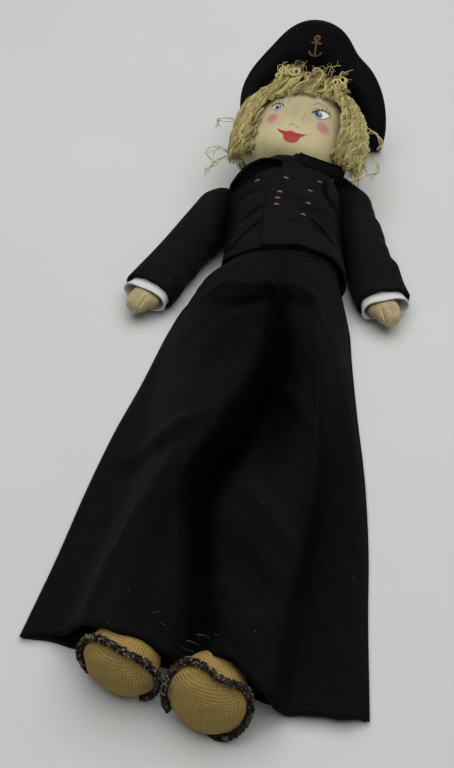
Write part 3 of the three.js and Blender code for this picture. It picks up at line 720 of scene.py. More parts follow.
@dataclass(frozen=True)
class WoolCloth(Finish):
    """Fulled navy wool: napped twill, near black, which holds pale lint."""

    dark: str = "#09090b"
    light: str = "#131315"
    lint: str = "#55524e"
    deep: str = "#010102"  # painted shade: the colour that shaded folds, edges and gaps are darkened to
    twill: float = 2.2  # finer in the real cloth; this coarse so that it shows
    nap_size: float = 1.1
    cloud_size: float = 9.0
    lint_apart: float = 7.0

    def make(self) -> bpy.types.Material:
        """Builds the material: cloudy nap, faint twill lines, a speck of lint here and there, and painted shade where
        the Shade attribute says.
        """
        material, tree, shader = self.start()
        places = self.millimetres(tree)
        flat = self.millimetres(tree, "UV")
        nap = self.blotches(tree, places, self.nap_size, 4.0)
        cloud = self.blotches(tree, places, self.cloud_size)
        settings = {"bands_direction": "DIAGONAL", "Scale": WAVE_REPEAT / self.twill, "Distortion": 1.5}
        rib = add_node(tree, "ShaderNodeTexWave", settings, {"Vector": flat}).outputs["Fac"]
        tone = self.plus(tree, self.plus(tree, nap, cloud, 0.6), rib, 0.07)
        body = self.colours(tree, self.remap(tree, tone, (0.55, 1.15)), self.dark, self.light)
        cells = add_node(tree, "ShaderNodeTexVoronoi", {"Scale": 1 / self.lint_apart}, {"Vector": places})
        speck = self.remap(tree, cells.outputs["Distance"], (0.052, 0.03))
        parts = add_node(tree, "ShaderNodeSeparateColor", {}, {"Color": cells.outputs["Color"]})
        chosen = self.remap(tree, parts.outputs[0], (0.62, 0.64))
        both = add_node(tree, "ShaderNodeMath", {"operation": "MULTIPLY"}, {0: speck, 1: chosen}).outputs[0]
        worn = self.colours(tree, both, body, self.lint)
        # Painted shade: the Shade attribute darkens the colour towards the deep colour and takes away the specular
        # and the sheen there.
        shade = add_node(tree, "ShaderNodeAttribute", {"attribute_name": "Shade"}).outputs["Fac"]
        colour = self.colours(tree, shade, worn, self.deep)
        tree.links.new(colour, shader.inputs["Base Color"])
        for name, plain in (("Specular IOR Level", self.specular), ("Sheen Weight", self.sheen)):
            tree.links.new(self.remap(tree, shade, (0.0, 1.0), (plain, 0.0)), shader.inputs[name])
        self.emboss(tree, shader, self.plus(tree, nap, rib, 0.12), 0.2)
        return material


@dataclass(frozen=True)
class WovenCloth(Finish):
    """Plain-woven cloth: threads a pitch apart, with slubs, soil and light catching the crowns."""

    light: str = "#c9b98a"
    dark: str = "#7d6a3e"
    soil: str = "#5a4a2c"
    pitch: float = 1.0
    wander: float = 1.0
    depth: float = 0.25
    soil_span: tuple[float, float] = (0.62, 0.9)
    soil_size: float = 14.0

    def make(self) -> bpy.types.Material:
        """Builds the material: weave on the flat cloth, tinted by slubs and soiled in clouds."""
        material, tree, shader = self.start()
        places = self.millimetres(tree)
        flat = self.millimetres(tree, "UV")
        height = self.weave(tree, flat, self.pitch, self.wander)
        slub = self.blotches(tree, places, self.pitch * 1.6)
        tone = self.plus(tree, height, slub, 0.8)
        body = self.colours(tree, self.remap(tree, tone, (0.25, 1.15)), self.dark, self.light)
        cloud = self.remap(tree, self.blotches(tree, places, self.soil_size), self.soil_span)
        tree.links.new(self.colours(tree, cloud, body, self.soil), shader.inputs["Base Color"])
        self.emboss(tree, shader, self.plus(tree, height, slub, 0.4), self.depth)
        return material


@dataclass(frozen=True)
class PaintedCloth(Finish):
    """Cream cotton stretched over stuffing, its face painted on: fine threads show through."""

    pitch: float = 0.9
    stain: str = "#b39a62"
    stain_size: float = 11.0
    grain: float = 0.6

    def make(self) -> bpy.types.Material:
        """Builds the material: the painted colour, aged in clouds, over a fine weave."""
        material, tree, shader = self.start()
        places = self.millimetres(tree)
        paint = add_node(tree, "ShaderNodeAttribute", {"attribute_name": "Paint"}).outputs["Color"]
        age = self.remap(tree, self.blotches(tree, places, self.stain_size), (0.5, 0.85), (0.0, 0.3))
        aged = self.colours(tree, age, paint, self.stain, "MULTIPLY")
        tree.links.new(aged, shader.inputs["Base Color"])
        height = self.weave(tree, places, self.pitch, 0.5)
        grain = self.blotches(tree, places, self.grain)
        self.emboss(tree, shader, self.plus(tree, height, grain, 0.6), 0.07)
        return material


@dataclass(frozen=True)
class Fibre(Finish):
    """Loose fibre or thread: each strand has a tone of its own, with painted shade darkening it at its root."""

    light: str = "#e0d2a6"
    dark: str = "#8d7a45"
    root: str = "#6d5a30"
    root_reach: float = 0.35
    streak_size: float = 2.5
    fuzz: float = 0.4

    def make(self) -> bpy.types.Material:
        """Builds the material from each strand's tone and how far along it a place is."""
        material, tree, shader = self.start()
        places = self.millimetres(tree)
        tone = add_node(tree, "ShaderNodeAttribute", {"attribute_name": "Tone"}).outputs["Fac"]
        run = add_node(tree, "ShaderNodeAttribute", {"attribute_name": "Run"}).outputs["Fac"]
        streak = self.blotches(tree, places, self.streak_size)
        mixed = self.remap(tree, self.plus(tree, tone, streak, 0.5), (0.25, 1.2))
        body = self.colours(tree, mixed, self.dark, self.light)
        # Painted shade: each strand darkens towards its root, where it lies under the others.
        root_shade = self.remap(tree, run, (self.root_reach, 0.0), (0.0, 0.75))
        tree.links.new(self.colours(tree, root_shade, body, self.root), shader.inputs["Base Color"])
        self.emboss(tree, shader, self.blotches(tree, places, self.fuzz), 0.05)
        return material


@dataclass(frozen=True)
class PaleTable(Finish):
    """Matt pale grey board under the doll."""

    light: str = "#cdcfcc"
    dark: str = "#c6c8c5"
    cloud_size: float = 240.0

    def make(self) -> bpy.types.Material:
        """Builds the material: two near greys in very soft clouds."""
        material, tree, shader = self.start()
        cloud = self.blotches(tree, self.millimetres(tree), self.cloud_size)
        tree.links.new(self.colours(tree, cloud, self.dark, self.light), shader.inputs["Base Color"])
        return material


class Finishes:
    """One of each finish, made once."""

    def __init__(self) -> None:
        """Builds the materials."""
        wool_sheen = {"roughness": 0.92, "specular": 0.1, "sheen": 0.025, "sheen_tint": "#a8a8aa"}
        self.wool = WoolCloth("fulled_navy_wool", Slot.WOOL, **wool_sheen).coat()
        self.skin = PaintedCloth("painted_cream_cotton", Slot.SKIN, 0.75, 0.3).coat()
        self.limb = WovenCloth(
            "cream_stuffing_cotton", Slot.SKIN, 0.85, light="#cfc196", dark="#a39467", pitch=0.8, depth=0.12
        ).coat()
        self.canvas = WovenCloth(
            "woven_cream_canvas", Slot.CANVAS, 0.9, light="#d6c89c", dark="#96855a", pitch=1.1, depth=0.3
        ).coat()
        self.burlap = WovenCloth(
            "tan_jute_burlap", Slot.BURLAP, 0.9, light="#ae9456", dark="#8a7038", soil="#6b5226", pitch=1.55,
            wander=0.9, depth=0.35, soil_span=(0.6, 0.95),
        ).coat()
        self.cotton = WovenCloth(
            "white_cotton_lining", Slot.COTTON, 0.85, light="#e6e4e2", dark="#c3bfbf", soil="#b7a9a4", pitch=0.7,
            depth=0.08, soil_span=(0.7, 1.0),
        ).coat()
        self.hair = Fibre(
            "blond_mohair", Slot.HAIR, 0.55, 0.35, sheen=0.15, light="#dccf8c", dark="#8f7d42", root="#6e5b2b",
            root_reach=0.18,
        ).coat()
        self.chenille = Fibre(
            "dark_chenille_fringe", Slot.CHENILLE, 0.95, 0.2, light="#857a68", dark="#12100e", root="#0f0c0a",
            root_reach=0.1,
        ).coat()
        self.bronze = Fibre(
            "bronze_embroidery_thread", Slot.THREAD, 0.55, 0.5, light="#8b6b42", dark="#3d2a18", root="#3d2a18",
            root_reach=0.05,
        ).coat()
        self.black_thread = Fibre(
            "black_sewing_thread", Slot.THREAD, 0.6, 0.4, light="#3a3836", dark="#0a0a0a", root="#0a0a0a"
        ).coat()
        self.table = PaleTable("pale_board", None, 0.8, 0.2).coat()


# Handing pieces to the frame


@dataclass(frozen=True)
class Piece:
    """A finished mesh with the finish it takes; it stands for the node of its name."""

    mesh: MeshObject
    finish: Coat
    has_node: bool = True

    def dress(self) -> "Piece":
        """Gives the mesh its material and smooth shading, and hides the imported part of its node."""
        self.mesh.data.materials.clear()
        self.mesh.data.materials.append(self.finish.material)
        take(self.mesh)
        bpy.ops.object.shade_smooth()
        if self.has_node:
            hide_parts(self.mesh.name.removeprefix(LOOK))
        LOG.info("%s: %d faces", self.mesh.name, len(self.mesh.data.polygons))
        return self

    def ride(self, body: str) -> "Piece":
        """Hangs the piece on a body."""
        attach(self.mesh, body)
        return self

    def bend(self, trunk: str, limb: str, start: Points, end: Points) -> "Piece":
        """Bakes the piece's transform into its mesh; the two bodies and points that it is given are not used."""
        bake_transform(self.mesh)
        return self


def upholster(mesh: MeshObject, finish: Coat, body: str) -> None:
    """Dresses a stuffed piece and hangs it on its body."""
    Piece(mesh, finish).dress().ride(body)


# The trunk's form, which every layer round it follows


def trunk_point(y: Points, grow: Points, angle: Points, widen: Points | float = 0.0) -> Points:
    """A place on the stuffed trunk, or on a layer round it.

    Args:
        y: Heights along the trunk.
        grow: How far the layer stands off the trunk.
        angle: 0 at the doll's right side, a quarter turn at its front.
        widen: How far the layer spreads to the sides.

    Returns:
        The places.
    """
    slope = np.clip((y - SHOULDER_Y) / (COLLAR_Y - SHOULDER_Y), 0, 1) ** SHOULDER_ROUNDING
    body = mix(HIP_HALF_WIDTH, CHEST_HALF_WIDTH, smooth(HIP_Y, SHOULDER_Y, y))
    half_width = mix(body, NECK_RADIUS, slope) + grow + widen
    half_depth = mix(TRUNK_HALF_DEPTH, NECK_RADIUS, slope) + grow
    rise = TRUNK_RISE + NECK_LEAN * smooth(SHOULDER_Y, COLLAR_Y, y)
    across = power(np.cos(angle), 2 / TRUNK_SQUARENESS)
    forward = power(np.sin(angle), 2 / TRUNK_SQUARENESS)
    return np.stack([-half_width * across, y + 0 * across, rise + half_depth * forward], -1)


def front_angle(x: Points, grow: float = JACKET_GROW) -> Points:
    """The angle at which a layer's front lies at a place across the chest."""
    return np.arccos(np.clip(power(-x / (CHEST_HALF_WIDTH + grow), TRUNK_SQUARENESS / 2), -1, 1))


@dataclass
class Trunk:
    """The stuffed torso and the top of the trousers, mostly under the jacket."""

    finishes: Finishes
    low: float = -56.0
    high: float = 54.0
    waist: float = -12.0
    band_depth: float = 9.0

    def torso(self) -> None:
        """The stuffed trunk with its neck, rounded off at both ends."""

        def shape(turn: Points, share: Points) -> Points:
            y = mix(self.low, self.high, from_pole(share))
            points = trunk_point(y, 0.0, turn)
            middle = np.stack([0 * y, y, TRUNK_RISE + NECK_LEAN * smooth(SHOULDER_Y, COLLAR_Y, y)], -1)
            swell = 1 + 0.02 * ripple(points, 30, 3)
            return middle + (points - middle) * (closing(share, 10) * swell)[:, None]

        mesh = stuffed("torso", 64, 72, shape)
        set_uv(mesh, read(mesh)[:, :2])
        upholster(mesh, self.finishes.limb, "trunk")

    def ring(self, name: str, low: float, high: float, flare: float) -> None:
        """A band of wool round the trunk.

        Args:
            name: The piece's name.
            low: Height of its lower edge.
            high: Height of its upper edge.
            flare: How far its lower edge spreads.
        """

        def shape(u: Points, v: Points) -> Points:
            y = mix(low, high, v)
            points = trunk_point(y, 2.0, -2 * math.pi * u, flare * (1 - v) ** 2)
            points[:, 2] += 0.3 * ripple(points, 14, 5)
            return above(points, 2.4)

        mesh = cut_sheet(name, 96, 14, shape, turned=True)
        thicken(mesh, BAND_THICKNESS)
        Piece(mesh, self.finishes.wool).dress().ride("trunk")

    def build(self) -> None:
        """Builds the trunk's pieces."""
        self.torso()
        self.ring("trousers_hip", -49.0, self.waist - 0.5, 1.5)
        self.ring("waistband", self.waist, self.waist + self.band_depth, 0.0)


@dataclass(frozen=True)
class Fold:
    """A soft ridge along a line on a cloth: places across and along, with its height and width."""

    line: tuple[Spot, ...]
    height: float
    width: float
    pressed: bool = False

    def lift(self, spots: Points) -> Points:
        """How far the fold lifts the cloth at each place: to a sharp edge where it is pressed."""
        distance, along = off_path(spots, curve(self.line, 24))
        away = distance / self.width
        profile = np.exp(-away) if self.pressed else np.exp(-(away**2))
        return self.height * profile * np.sin(math.pi * (0.1 + 0.8 * along)) ** 0.6


@dataclass(frozen=True)
class Hollow:
    """A line of painted shade along a fold of the cloth, where the fold lies in shadow."""

    line: tuple[Spot, ...]
    width: float
    depth: float

    def cover(self, spots: Points) -> Points:
        """How much darker each place is, least at the line's ends."""
        distance, along = off_path(spots, curve(self.line, 20))
        return self.depth * hump(distance, 0.0, self.width) * np.sin(math.pi * (0.12 + 0.76 * along)) ** 0.5


def set_shade(mesh: MeshObject, spots: Points, hollows: Sequence[Hollow], all_over: float = 0.0) -> None:
    """Stores painted shade for each place of a cloth, strongest along its lines of shade, for the wool to read.

    Args:
        mesh: The cloth.
        spots: The flat place of each vertex.
        hollows: Its lines of painted shade.
        all_over: How much darker the whole piece is made.
    """
    lit = np.full(len(spots), 1 - all_over)
    for hollow in hollows:
        lit *= 1 - hollow.cover(spots)
    set_attribute(mesh, "Shade", 1 - lit)


LEGS = Frame((0.0, HIP_Y, 0.0), turn=-10.0)

# Fold lines of the trouser legs, from the valley between them to the outer edge.
# Each place is across, along from the hip crease, and up from the table.
VALLEY = (
    (1.0, 22.0, 38.0), (4.0, 42.0, 26.0), (9.0, 78.0, 14.0), (-2.0, 128.0, 8.0),
    (-15.0, 172.0, 7.0), (-7.0, 208.0, 7.0), (4.0, 263.0, 9.0),
)
RIGHT_LINES = (
    VALLEY,
    ((-8.0, 20.0, 43.0), (-4.0, 42.0, 42.0), (1.0, 78.0, 38.0), (-9.0, 128.0, 37.0),
     (-22.0, 172.0, 35.0), (-14.0, 208.0, 31.0), (-2.0, 264.0, 25.0)),
    ((-25.0, 18.0, 43.0), (-24.0, 42.0, 42.0), (-22.0, 80.0, 40.0), (-26.0, 128.0, 39.0),
     (-31.0, 172.0, 37.0), (-30.0, 208.0, 36.0), (-25.0, 265.0, 44.0)),
    ((-44.0, 16.0, 32.0), (-46.0, 42.0, 29.0), (-46.0, 82.0, 27.0), (-42.0, 128.0, 29.0),
     (-39.0, 172.0, 34.0), (-42.0, 208.0, 33.0), (-49.0, 259.0, 28.0)),
    ((-54.0, 16.0, 14.0), (-58.0, 42.0, 11.0), (-61.0, 84.0, 10.0), (-60.0, 130.0, 9.0),
     (-57.0, 172.0, 9.0), (-62.0, 210.0, 8.0), (-66.0, 259.0, 7.0)),
    ((-58.0, 16.0, 4.0), (-63.5, 42.0, 4.2), (-68.0, 86.0, 4.4), (-74.0, 132.0, 4.4),
     (-77.0, 174.0, 4.4), (-78.5, 212.0, 4.4), (-82.0, 260.0, 4.4)),
)
LEFT_LINES = (
    VALLEY,
    ((12.0, 20.0, 42.0), (15.0, 42.0, 39.0), (22.0, 80.0, 29.0), (21.0, 128.0, 24.0),
     (16.0, 172.0, 22.0), (19.0, 208.0, 25.0), (25.0, 264.0, 42.0)),
    ((24.0, 18.0, 42.0), (26.0, 42.0, 40.0), (33.0, 80.0, 38.0), (41.0, 128.0, 37.0),
     (44.5, 172.0, 36.0), (45.0, 210.0, 36.0), (47.0, 274.0, 27.0)),
    ((34.0, 16.0, 32.0), (38.0, 42.0, 27.0), (46.0, 80.0, 19.0), (53.0, 128.0, 14.0),
     (56.0, 172.0, 11.0), (57.0, 212.0, 9.0), (58.0, 271.0, 6.0)),
    ((42.0, 16.0, 17.0), (46.0, 42.0, 14.0), (53.0, 80.0, 12.0), (63.0, 128.0, 11.0),
     (70.0, 172.0, 11.0), (74.0, 212.0, 10.0), (80.0, 268.0, 8.0)),
    ((46.0, 16.0, 4.0), (51.5, 42.0, 4.2), (60.5, 82.0, 4.4), (72.0, 130.0, 4.4),
     (80.0, 174.0, 4.4), (85.0, 212.0, 4.4), (93.0, 265.0, 4.4)),
)
RIGHT_FOLDS = (
    Fold(((-3.0, 45.0), (-0.5, 70.0), (-3.5, 97.0), (-9.0, 123.0), (-17.4, 147.0), (-22.0, 170.0), (-20.5, 187.0),
          (-15.5, 203.0), (-8.0, 224.0), (-2.0, 246.0)), 3.0, 3.0, pressed=True),
    Fold(((-10.0, 120.0), (-33.0, 139.0), (-49.0, 145.0), (-70.0, 147.0)), 3.6, 5.5),
    Fold(((-14.0, 134.0), (-33.0, 152.0), (-50.0, 158.0), (-68.0, 160.0)), -2.6, 6.0),
    Fold(((-28.0, 152.0), (-35.0, 183.0), (-41.0, 208.0), (-46.0, 232.0), (-48.0, 258.0)), 4.6, 4.5),
    Fold(((-0.8, 24.0), (-9.5, 27.0), (-21.0, 30.0), (-32.0, 31.0), (-43.0, 36.0)), 4.4, 3.2),
    Fold(((-3.0, 36.0), (-14.0, 41.0), (-26.0, 50.0), (-38.0, 66.0)), -3.6, 5.0),
    Fold(((-16.0, 62.0), (-26.0, 84.0), (-34.0, 112.0)), 1.8, 7.0),
)
LEFT_FOLDS = (
    Fold(((27.0, 40.0), (31.0, 62.0), (36.0, 91.0), (43.0, 138.0), (45.0, 171.0), (45.6, 200.0), (44.8, 234.0),
          (46.5, 272.0)), 3.0, 1.8, pressed=True),
    Fold(((34.0, 50.0), (42.0, 91.0), (50.0, 138.0), (52.5, 171.0), (53.0, 200.0), (52.0, 234.0), (53.0, 268.0)),
         -3.0, 4.5),
    Fold(((5.8, 75.0), (20.0, 95.0), (32.0, 113.0), (41.0, 131.0)), 4.6, 4.5),
    Fold(((7.7, 157.0), (27.0, 179.0), (43.0, 199.0)), 4.2, 5.0),
    Fold(((11.0, 222.0), (27.0, 236.0), (42.0, 247.0)), 3.8, 5.0),
    Fold(((60.0, 60.0), (62.0, 95.0), (70.0, 128.0), (74.0, 160.0)), 2.4, 5.0),
    Fold(((4.0, 24.0), (12.0, 22.0), (22.0, 28.0), (30.0, 40.0)), 3.6, 3.2),
    Fold(((3.4, 4.0), (4.2, 12.0), (3.2, 26.0)), 2.0, 2.2),
)
# Lines of painted shade on the trousers: between the legs, under the folds and beside the creases.
SHADE_BETWEEN_LEGS = (
    Hollow(((2.0, 30.0), (7.0, 48.0), (10.0, 66.0), (9.0, 90.0), (2.0, 123.0), (-6.0, 145.0), (-10.0, 169.0),
            (-4.0, 199.0), (4.0, 230.0), (10.0, 266.0)), 10.0, 0.93),
    Hollow(((12.0, 66.0), (18.0, 92.0), (22.0, 112.0), (20.0, 136.0)), 12.0, 0.7),
)
RIGHT_LEG_SHADE = (
    *SHADE_BETWEEN_LEGS,
    Hollow(((2.0, 24.0), (-7.0, 35.0), (-20.0, 39.0), (-34.0, 42.0)), 4.5, 0.7),
    Hollow(((-8.0, 46.0), (-16.0, 62.0), (-24.0, 84.0)), 12.0, 0.4),
    Hollow(((-16.0, 160.0), (-26.0, 200.0), (-22.0, 256.0)), 8.0, 0.35),
)
LEFT_LEG_SHADE = (
    *SHADE_BETWEEN_LEGS,
    Hollow(((33.0, 62.0), (40.0, 91.0), (47.5, 138.0), (49.5, 171.0), (50.0, 200.0), (49.4, 234.0), (51.0, 280.0)),
           4.5, 0.65),
    Hollow(((10.0, 186.0), (22.0, 204.0), (34.0, 222.0)), 8.0, 0.4),
    Hollow(((8.0, 240.0), (22.0, 252.0), (34.0, 262.0)), 7.0, 0.4),
    Hollow(((52.0, 70.0), (58.0, 120.0), (62.0, 180.0), (64.0, 250.0)), 15.0, 0.3),
    Hollow(((5.0, 28.0), (14.0, 31.0), (24.0, 36.0)), 3.5, 0.6),
)


@dataclass
class TrouserLeg:
    """One wide trouser leg: an upper layer over the stuffed leg and an under layer on the table."""

    finishes: Finishes
    side: Side
    lines: tuple[tuple[Place, ...], ...]
    folds: tuple[Fold, ...]
    hip_angles: tuple[float, ...] = (90.0, 74.0, 52.0, 30.0, 12.0, -6.0)
    hip_heights: tuple[float, ...] = (-28.0, -44.0)
    hip_grow: float = 2.0
    edge_round: float = 1.6
    hem_depth: float = 14.0
    hem_fullness: float = 1.7
    least_height: float = 0.05  # of the under layer's lower side
    all_over: float = 0.16  # how much darker the trousers are made than the jacket, all over
    hollows: tuple[Hollow, ...] = ()
    seam_under: Place = (1.5, 0.0, 1.0)

    def hip_places(self, angle: float) -> Points:
        """Where a line runs up under the jacket, on the trunk at an angle in degrees."""
        right = math.radians(angle)
        turn = right if self.side is Side.RIGHT else math.pi - right
        heights = np.array(self.hip_heights)
        local = LEGS.inside(trunk_point(heights, self.hip_grow, np.full(len(heights), turn)))
        return local * (1, -1, 1)

    def net(self) -> Points:
        """All lines round the leg: over it from the valley to the edge, then back under it."""
        out = self.side.value
        upper = [np.vstack([self.hip_places(a), np.array(line)]) for a, line in zip(self.hip_angles, self.lines)]
        if self.side is Side.LEFT:
            upper[0] = upper[0] - np.array(self.seam_under)
        seam, edge = upper[0], upper[-1]
        under_angles = (-40.0, -70.0, -90.0)
        fold = edge.copy()
        fold[:, 0] += out * self.edge_round
        fold[:, 2] = np.where(edge[:, 2] > 6, edge[:, 2], 2.2)
        rows = [fold]
        for share, angle in zip((0.06, 0.5, 1.0), under_angles):
            row = mix(edge, seam, share)
            row[:, 1] = mix(edge[:, 1], np.minimum(seam[:, 1] + 8, edge[:, 1]), share)
            row[:, 2] = TABLE_CLEARANCE
            row[: len(self.hip_heights)] = self.hip_places(angle)
            rows.append(row)
        return np.stack([*upper, *rows, seam])

    def shape(self, u: Points, v: Points) -> Points:
        """Places on the cloth for shares round the leg and along it."""
        net = self.net()
        count = len(net)
        gaps = np.linalg.norm(np.diff(net, axis=0), axis=2).mean(1)
        reach = np.concatenate([[0], np.cumsum(gaps)]) / gaps.sum()
        rows = np.stack([through(line, v) for line in net])
        knots = np.interp(u, reach, np.linspace(0, 1, count))
        local = through(rows, knots)
        upper = 1 - smooth(0.42, 0.5, knots)
        free = upper * smooth(0.0, 0.05, knots) * smooth(0.05, 0.16, v)
        spots = local[:, :2]
        lift = sum(fold.lift(spots) for fold in self.folds)
        seed = 11 if self.side is Side.LEFT else 17
        wave = 0.9 * ripple(local * (1, 0.45, 0), 26, seed) + 0.35 * ripple(local, 11, seed + 1)
        local[:, 2] += free * (lift + wave)
        hem = smooth(0.9, 1.0, v) * (knots > 0.04)
        local[:, 1] += 0.8 * hem * ripple(local * (1, 0, 1), 22, seed + 2)
        return LEGS.place(above(local, TABLE_CLEARANCE) * (1, -1, 1))

    def build(self) -> None:
        """Builds the leg's cloth, with its hem turned up."""
        word = self.side.word
        mesh = cut_sheet(f"trouser_leg_{word}", 150, 170, self.shape, turned=self.side is Side.LEFT)
        hem_line = self.net()[:, -1, 1].min()
        mark_hem(mesh, -LEGS.inside(read(mesh))[:, 1] > hem_line - self.hem_depth)
        thicken(mesh, WOOL_THICKNESS, self.hem_fullness)
        write(mesh, above(read(mesh), self.least_height))
        # Painted shade along the trousers' lines of shade, and a darkening all over.
        set_shade(mesh, (LEGS.inside(read(mesh)) * (1, -1, 1))[:, :2], self.hollows, self.all_over)
        piece = Piece(mesh, self.finishes.wool).dress()
        start = LEGS.place(np.array([0.0, 10.0, 42.0]))
        end = LEGS.place(np.array([0.0, -16.0, 42.0]))
        piece.bend("trunk", f"leg_{word}", start, end)


@dataclass
class Leg:
    """A stuffed leg and its burlap foot, with the fringe round its sole."""

    finishes: Finishes
    side: Side
    foot_x: float
    foot_distance: float
    foot_turn: float
    foot_tilt: float
    bow: float
    radius: float = 9.0
    foot_rise: float = 20.5
    foot_radius: float = 18.6
    foot_height: float = 1.1
    upper_length: float = 24.0
    sole_depth: float = 9.5
    flattening: float = 2.0  # the table presses the foot's cloth below this height
    fringe_middle: float = -90.0
    fringe_opening: float = 34.0
    fringe_radius: float = 2.1
    fringe_tufts: int = 900
    thread_ends: int = 9
    fringe_waves: tuple[float, float, float, float] = (0.0, 0.0, 0.0, 0.0)

    def foot(self) -> Frame:
        """The foot's frame inside the legs' frame."""
        return Frame((self.foot_x, -self.foot_distance, self.foot_rise), self.foot_turn, self.foot_tilt)

    def place(self, local: Points) -> Points:
        """Carries points from the foot's frame to the row frame, kept above the table."""
        points = LEGS.place(self.foot().place(local))
        height, flat = points[:, 2], self.flattening
        pressed = TABLE_CLEARANCE + (flat - TABLE_CLEARANCE) * np.exp((height - flat) / flat)
        points[:, 2] = np.where(height < flat, pressed, height)
        return points

    def limb(self) -> None:
        """The stuffed leg inside the trousers, from the hip to the ankle."""
        ankle = self.foot().place(np.array([[0.0, self.upper_length, 0.0]]))[0]
        hip = np.array([self.side.value * 20.0, -2.0, self.radius + 2.4])
        knee = (hip + ankle) / 2 + np.array([self.bow, 0, -1.0])
        path = np.array([hip, knee, ankle + np.array([0, 3.0, 0])])

        def shape(turn: Points, share: Points) -> Points:
            along = from_pole(share)
            middle = through(path, along)
            radius = self.radius * closing(share, 14) * mix(1.0, 0.9, along)
            ring = np.stack([radius * np.cos(turn), 0 * turn, radius * np.sin(turn)], -1)
            points = middle + ring * (1 + 0.03 * ripple(middle + ring, 24, 7))[:, None]
            return LEGS.place(points)

        mesh = stuffed(f"leg_{self.side.word}", 40, 60, shape)
        set_uv(mesh, read(mesh)[:, :2])
        upholster(mesh, self.finishes.limb, f"leg_{self.side.word}")

    def foot_ring(self, girth: Points, turn: Points, y: Points) -> Points:
        """Places round the foot at a share of its full girth, in its own frame."""
        wide = self.foot_radius * girth
        return np.stack([wide * np.cos(turn), y, wide * self.foot_height * np.sin(turn)], -1)

    def sole(self) -> None:
        """The bulging burlap sole."""

        def shape(turn: Points, share: Points) -> Points:
            polar = share * math.pi
            girth = np.sin(polar) ** 0.92
            depth = -np.cos(polar)
            y = np.where(depth < 0, self.sole_depth * depth, 1.5 * depth)
            local = self.foot_ring(girth, turn, y)
            dent = hump(girth, 0.9, 0.1) * (depth < 0)
            local[:, 1] += 1.2 * dent + 0.35 * ripple(local, 16, 21)
            return local

        self.foot_piece("foot_sole", shape, lambda local: local[:, [0, 2]])

    def upper(self) -> None:
        """The burlap upper, drawn in to the ankle."""

        def shape(turn: Points, share: Points) -> Points:
            polar = share * math.pi
            girth = np.sin(polar) ** 0.85
            height = -np.cos(polar)
            y = np.where(height > 0, self.upper_length * height, 0.6 * height)
            local = self.foot_ring(girth * mix(1.0, 0.98, np.clip(height, 0, 1)), turn, y)
            local[:, 1] += 0.3 * ripple(local, 15, 23)
            return local

        def flat(local: Points) -> Points:
            turn = np.arctan2(local[:, 2], local[:, 0])
            return np.stack([turn * self.foot_radius, local[:, 1]], -1)

        self.foot_piece("foot_upper", shape, flat)

    def foot_piece(self, kind: str, shape: Shape, flat: Callable[[Points], Points]) -> None:
        """Builds a stuffed half of the foot.

        Args:
            kind: The start of its name.
            shape: Its form in the foot's frame.
            flat: The weave's places for points in that frame.
        """
        mesh = stuffed(f"{kind}_{self.side.word}", 96, 64, shape)
        local = read(mesh)
        set_uv(mesh, flat(local))
        write(mesh, self.place(local))
        upholster(mesh, self.finishes.burlap, f"leg_{self.side.word}")

    def seam(self, turn: Points) -> Points:
        """Places along the seam of the sole, which wanders to and fro, in the foot's frame."""
        a, b, c, d = self.fringe_waves
        y = a * np.cos(2 * turn) + b * np.sin(2 * turn) + c * np.cos(3 * turn) + d * np.sin(3 * turn)
        drawn = np.sqrt(1 - (y / np.where(y < 0, self.sole_depth, self.upper_length)) ** 2)
        reach = self.foot_radius * drawn + 0.6 * self.fringe_radius
        return np.stack([reach * np.cos(turn), y, reach * self.foot_height * np.sin(turn)], -1)

    def fringe(self) -> None:
        """A looped dark chenille cord along the seam of the sole, open at the heel."""
        dice = np.random.default_rng(31 + self.side.value)
        heel, opening = math.radians(self.fringe_middle), math.radians(self.fringe_opening)
        first, last = heel + opening, heel + 2 * math.pi - opening
        core = self.seam(np.linspace(first, last, 121))
        strands = []
        for k in range(0, len(core) - LOOP_STEPS, LOOP_STEPS):
            radius = 1.1 if k % (2 * LOOP_STEPS) else 1.2
            strands.append(Strand(self.place(core[k : k + LOOP_STEPS + 1]), np.full(LOOP_STEPS + 1, radius), 0.05))
        for k in range(self.fringe_tufts):
            turn = mix(first, last, (k + dice.random()) / self.fringe_tufts)
            root = self.seam(np.array([turn]))[0]
            out = np.array([math.cos(turn), 0, math.sin(turn)])
            along = np.array([-math.sin(turn), 0, math.cos(turn)])
            lean = dice.uniform(-0.6, 1.0) * math.pi
            ray = out * math.cos(lean * 0.5) - np.array([0, 1, 0]) * math.sin(lean * 0.5 + 0.3)
            tip = root + ray * self.fringe_radius * dice.uniform(0.75, 1.25)
            swing = along * dice.uniform(-0.9, 0.9)
            middle = mix(root, tip, 0.6)
            points = curve([root, middle + swing, tip, middle - swing, root], LOOP_STEPS)
            tone = 0.14 * dice.random() + (0.6 if dice.random() < 0.2 else 0.0)
            radius = np.full(LOOP_STEPS + 1, dice.uniform(0.34, 0.5))
            strands.append(Strand(self.place(points), radius, tone))
        mesh = lay_strands(f"sole_trim_{self.side.word}", strands)
        Piece(mesh, self.finishes.chenille).dress().ride(f"leg_{self.side.word}")

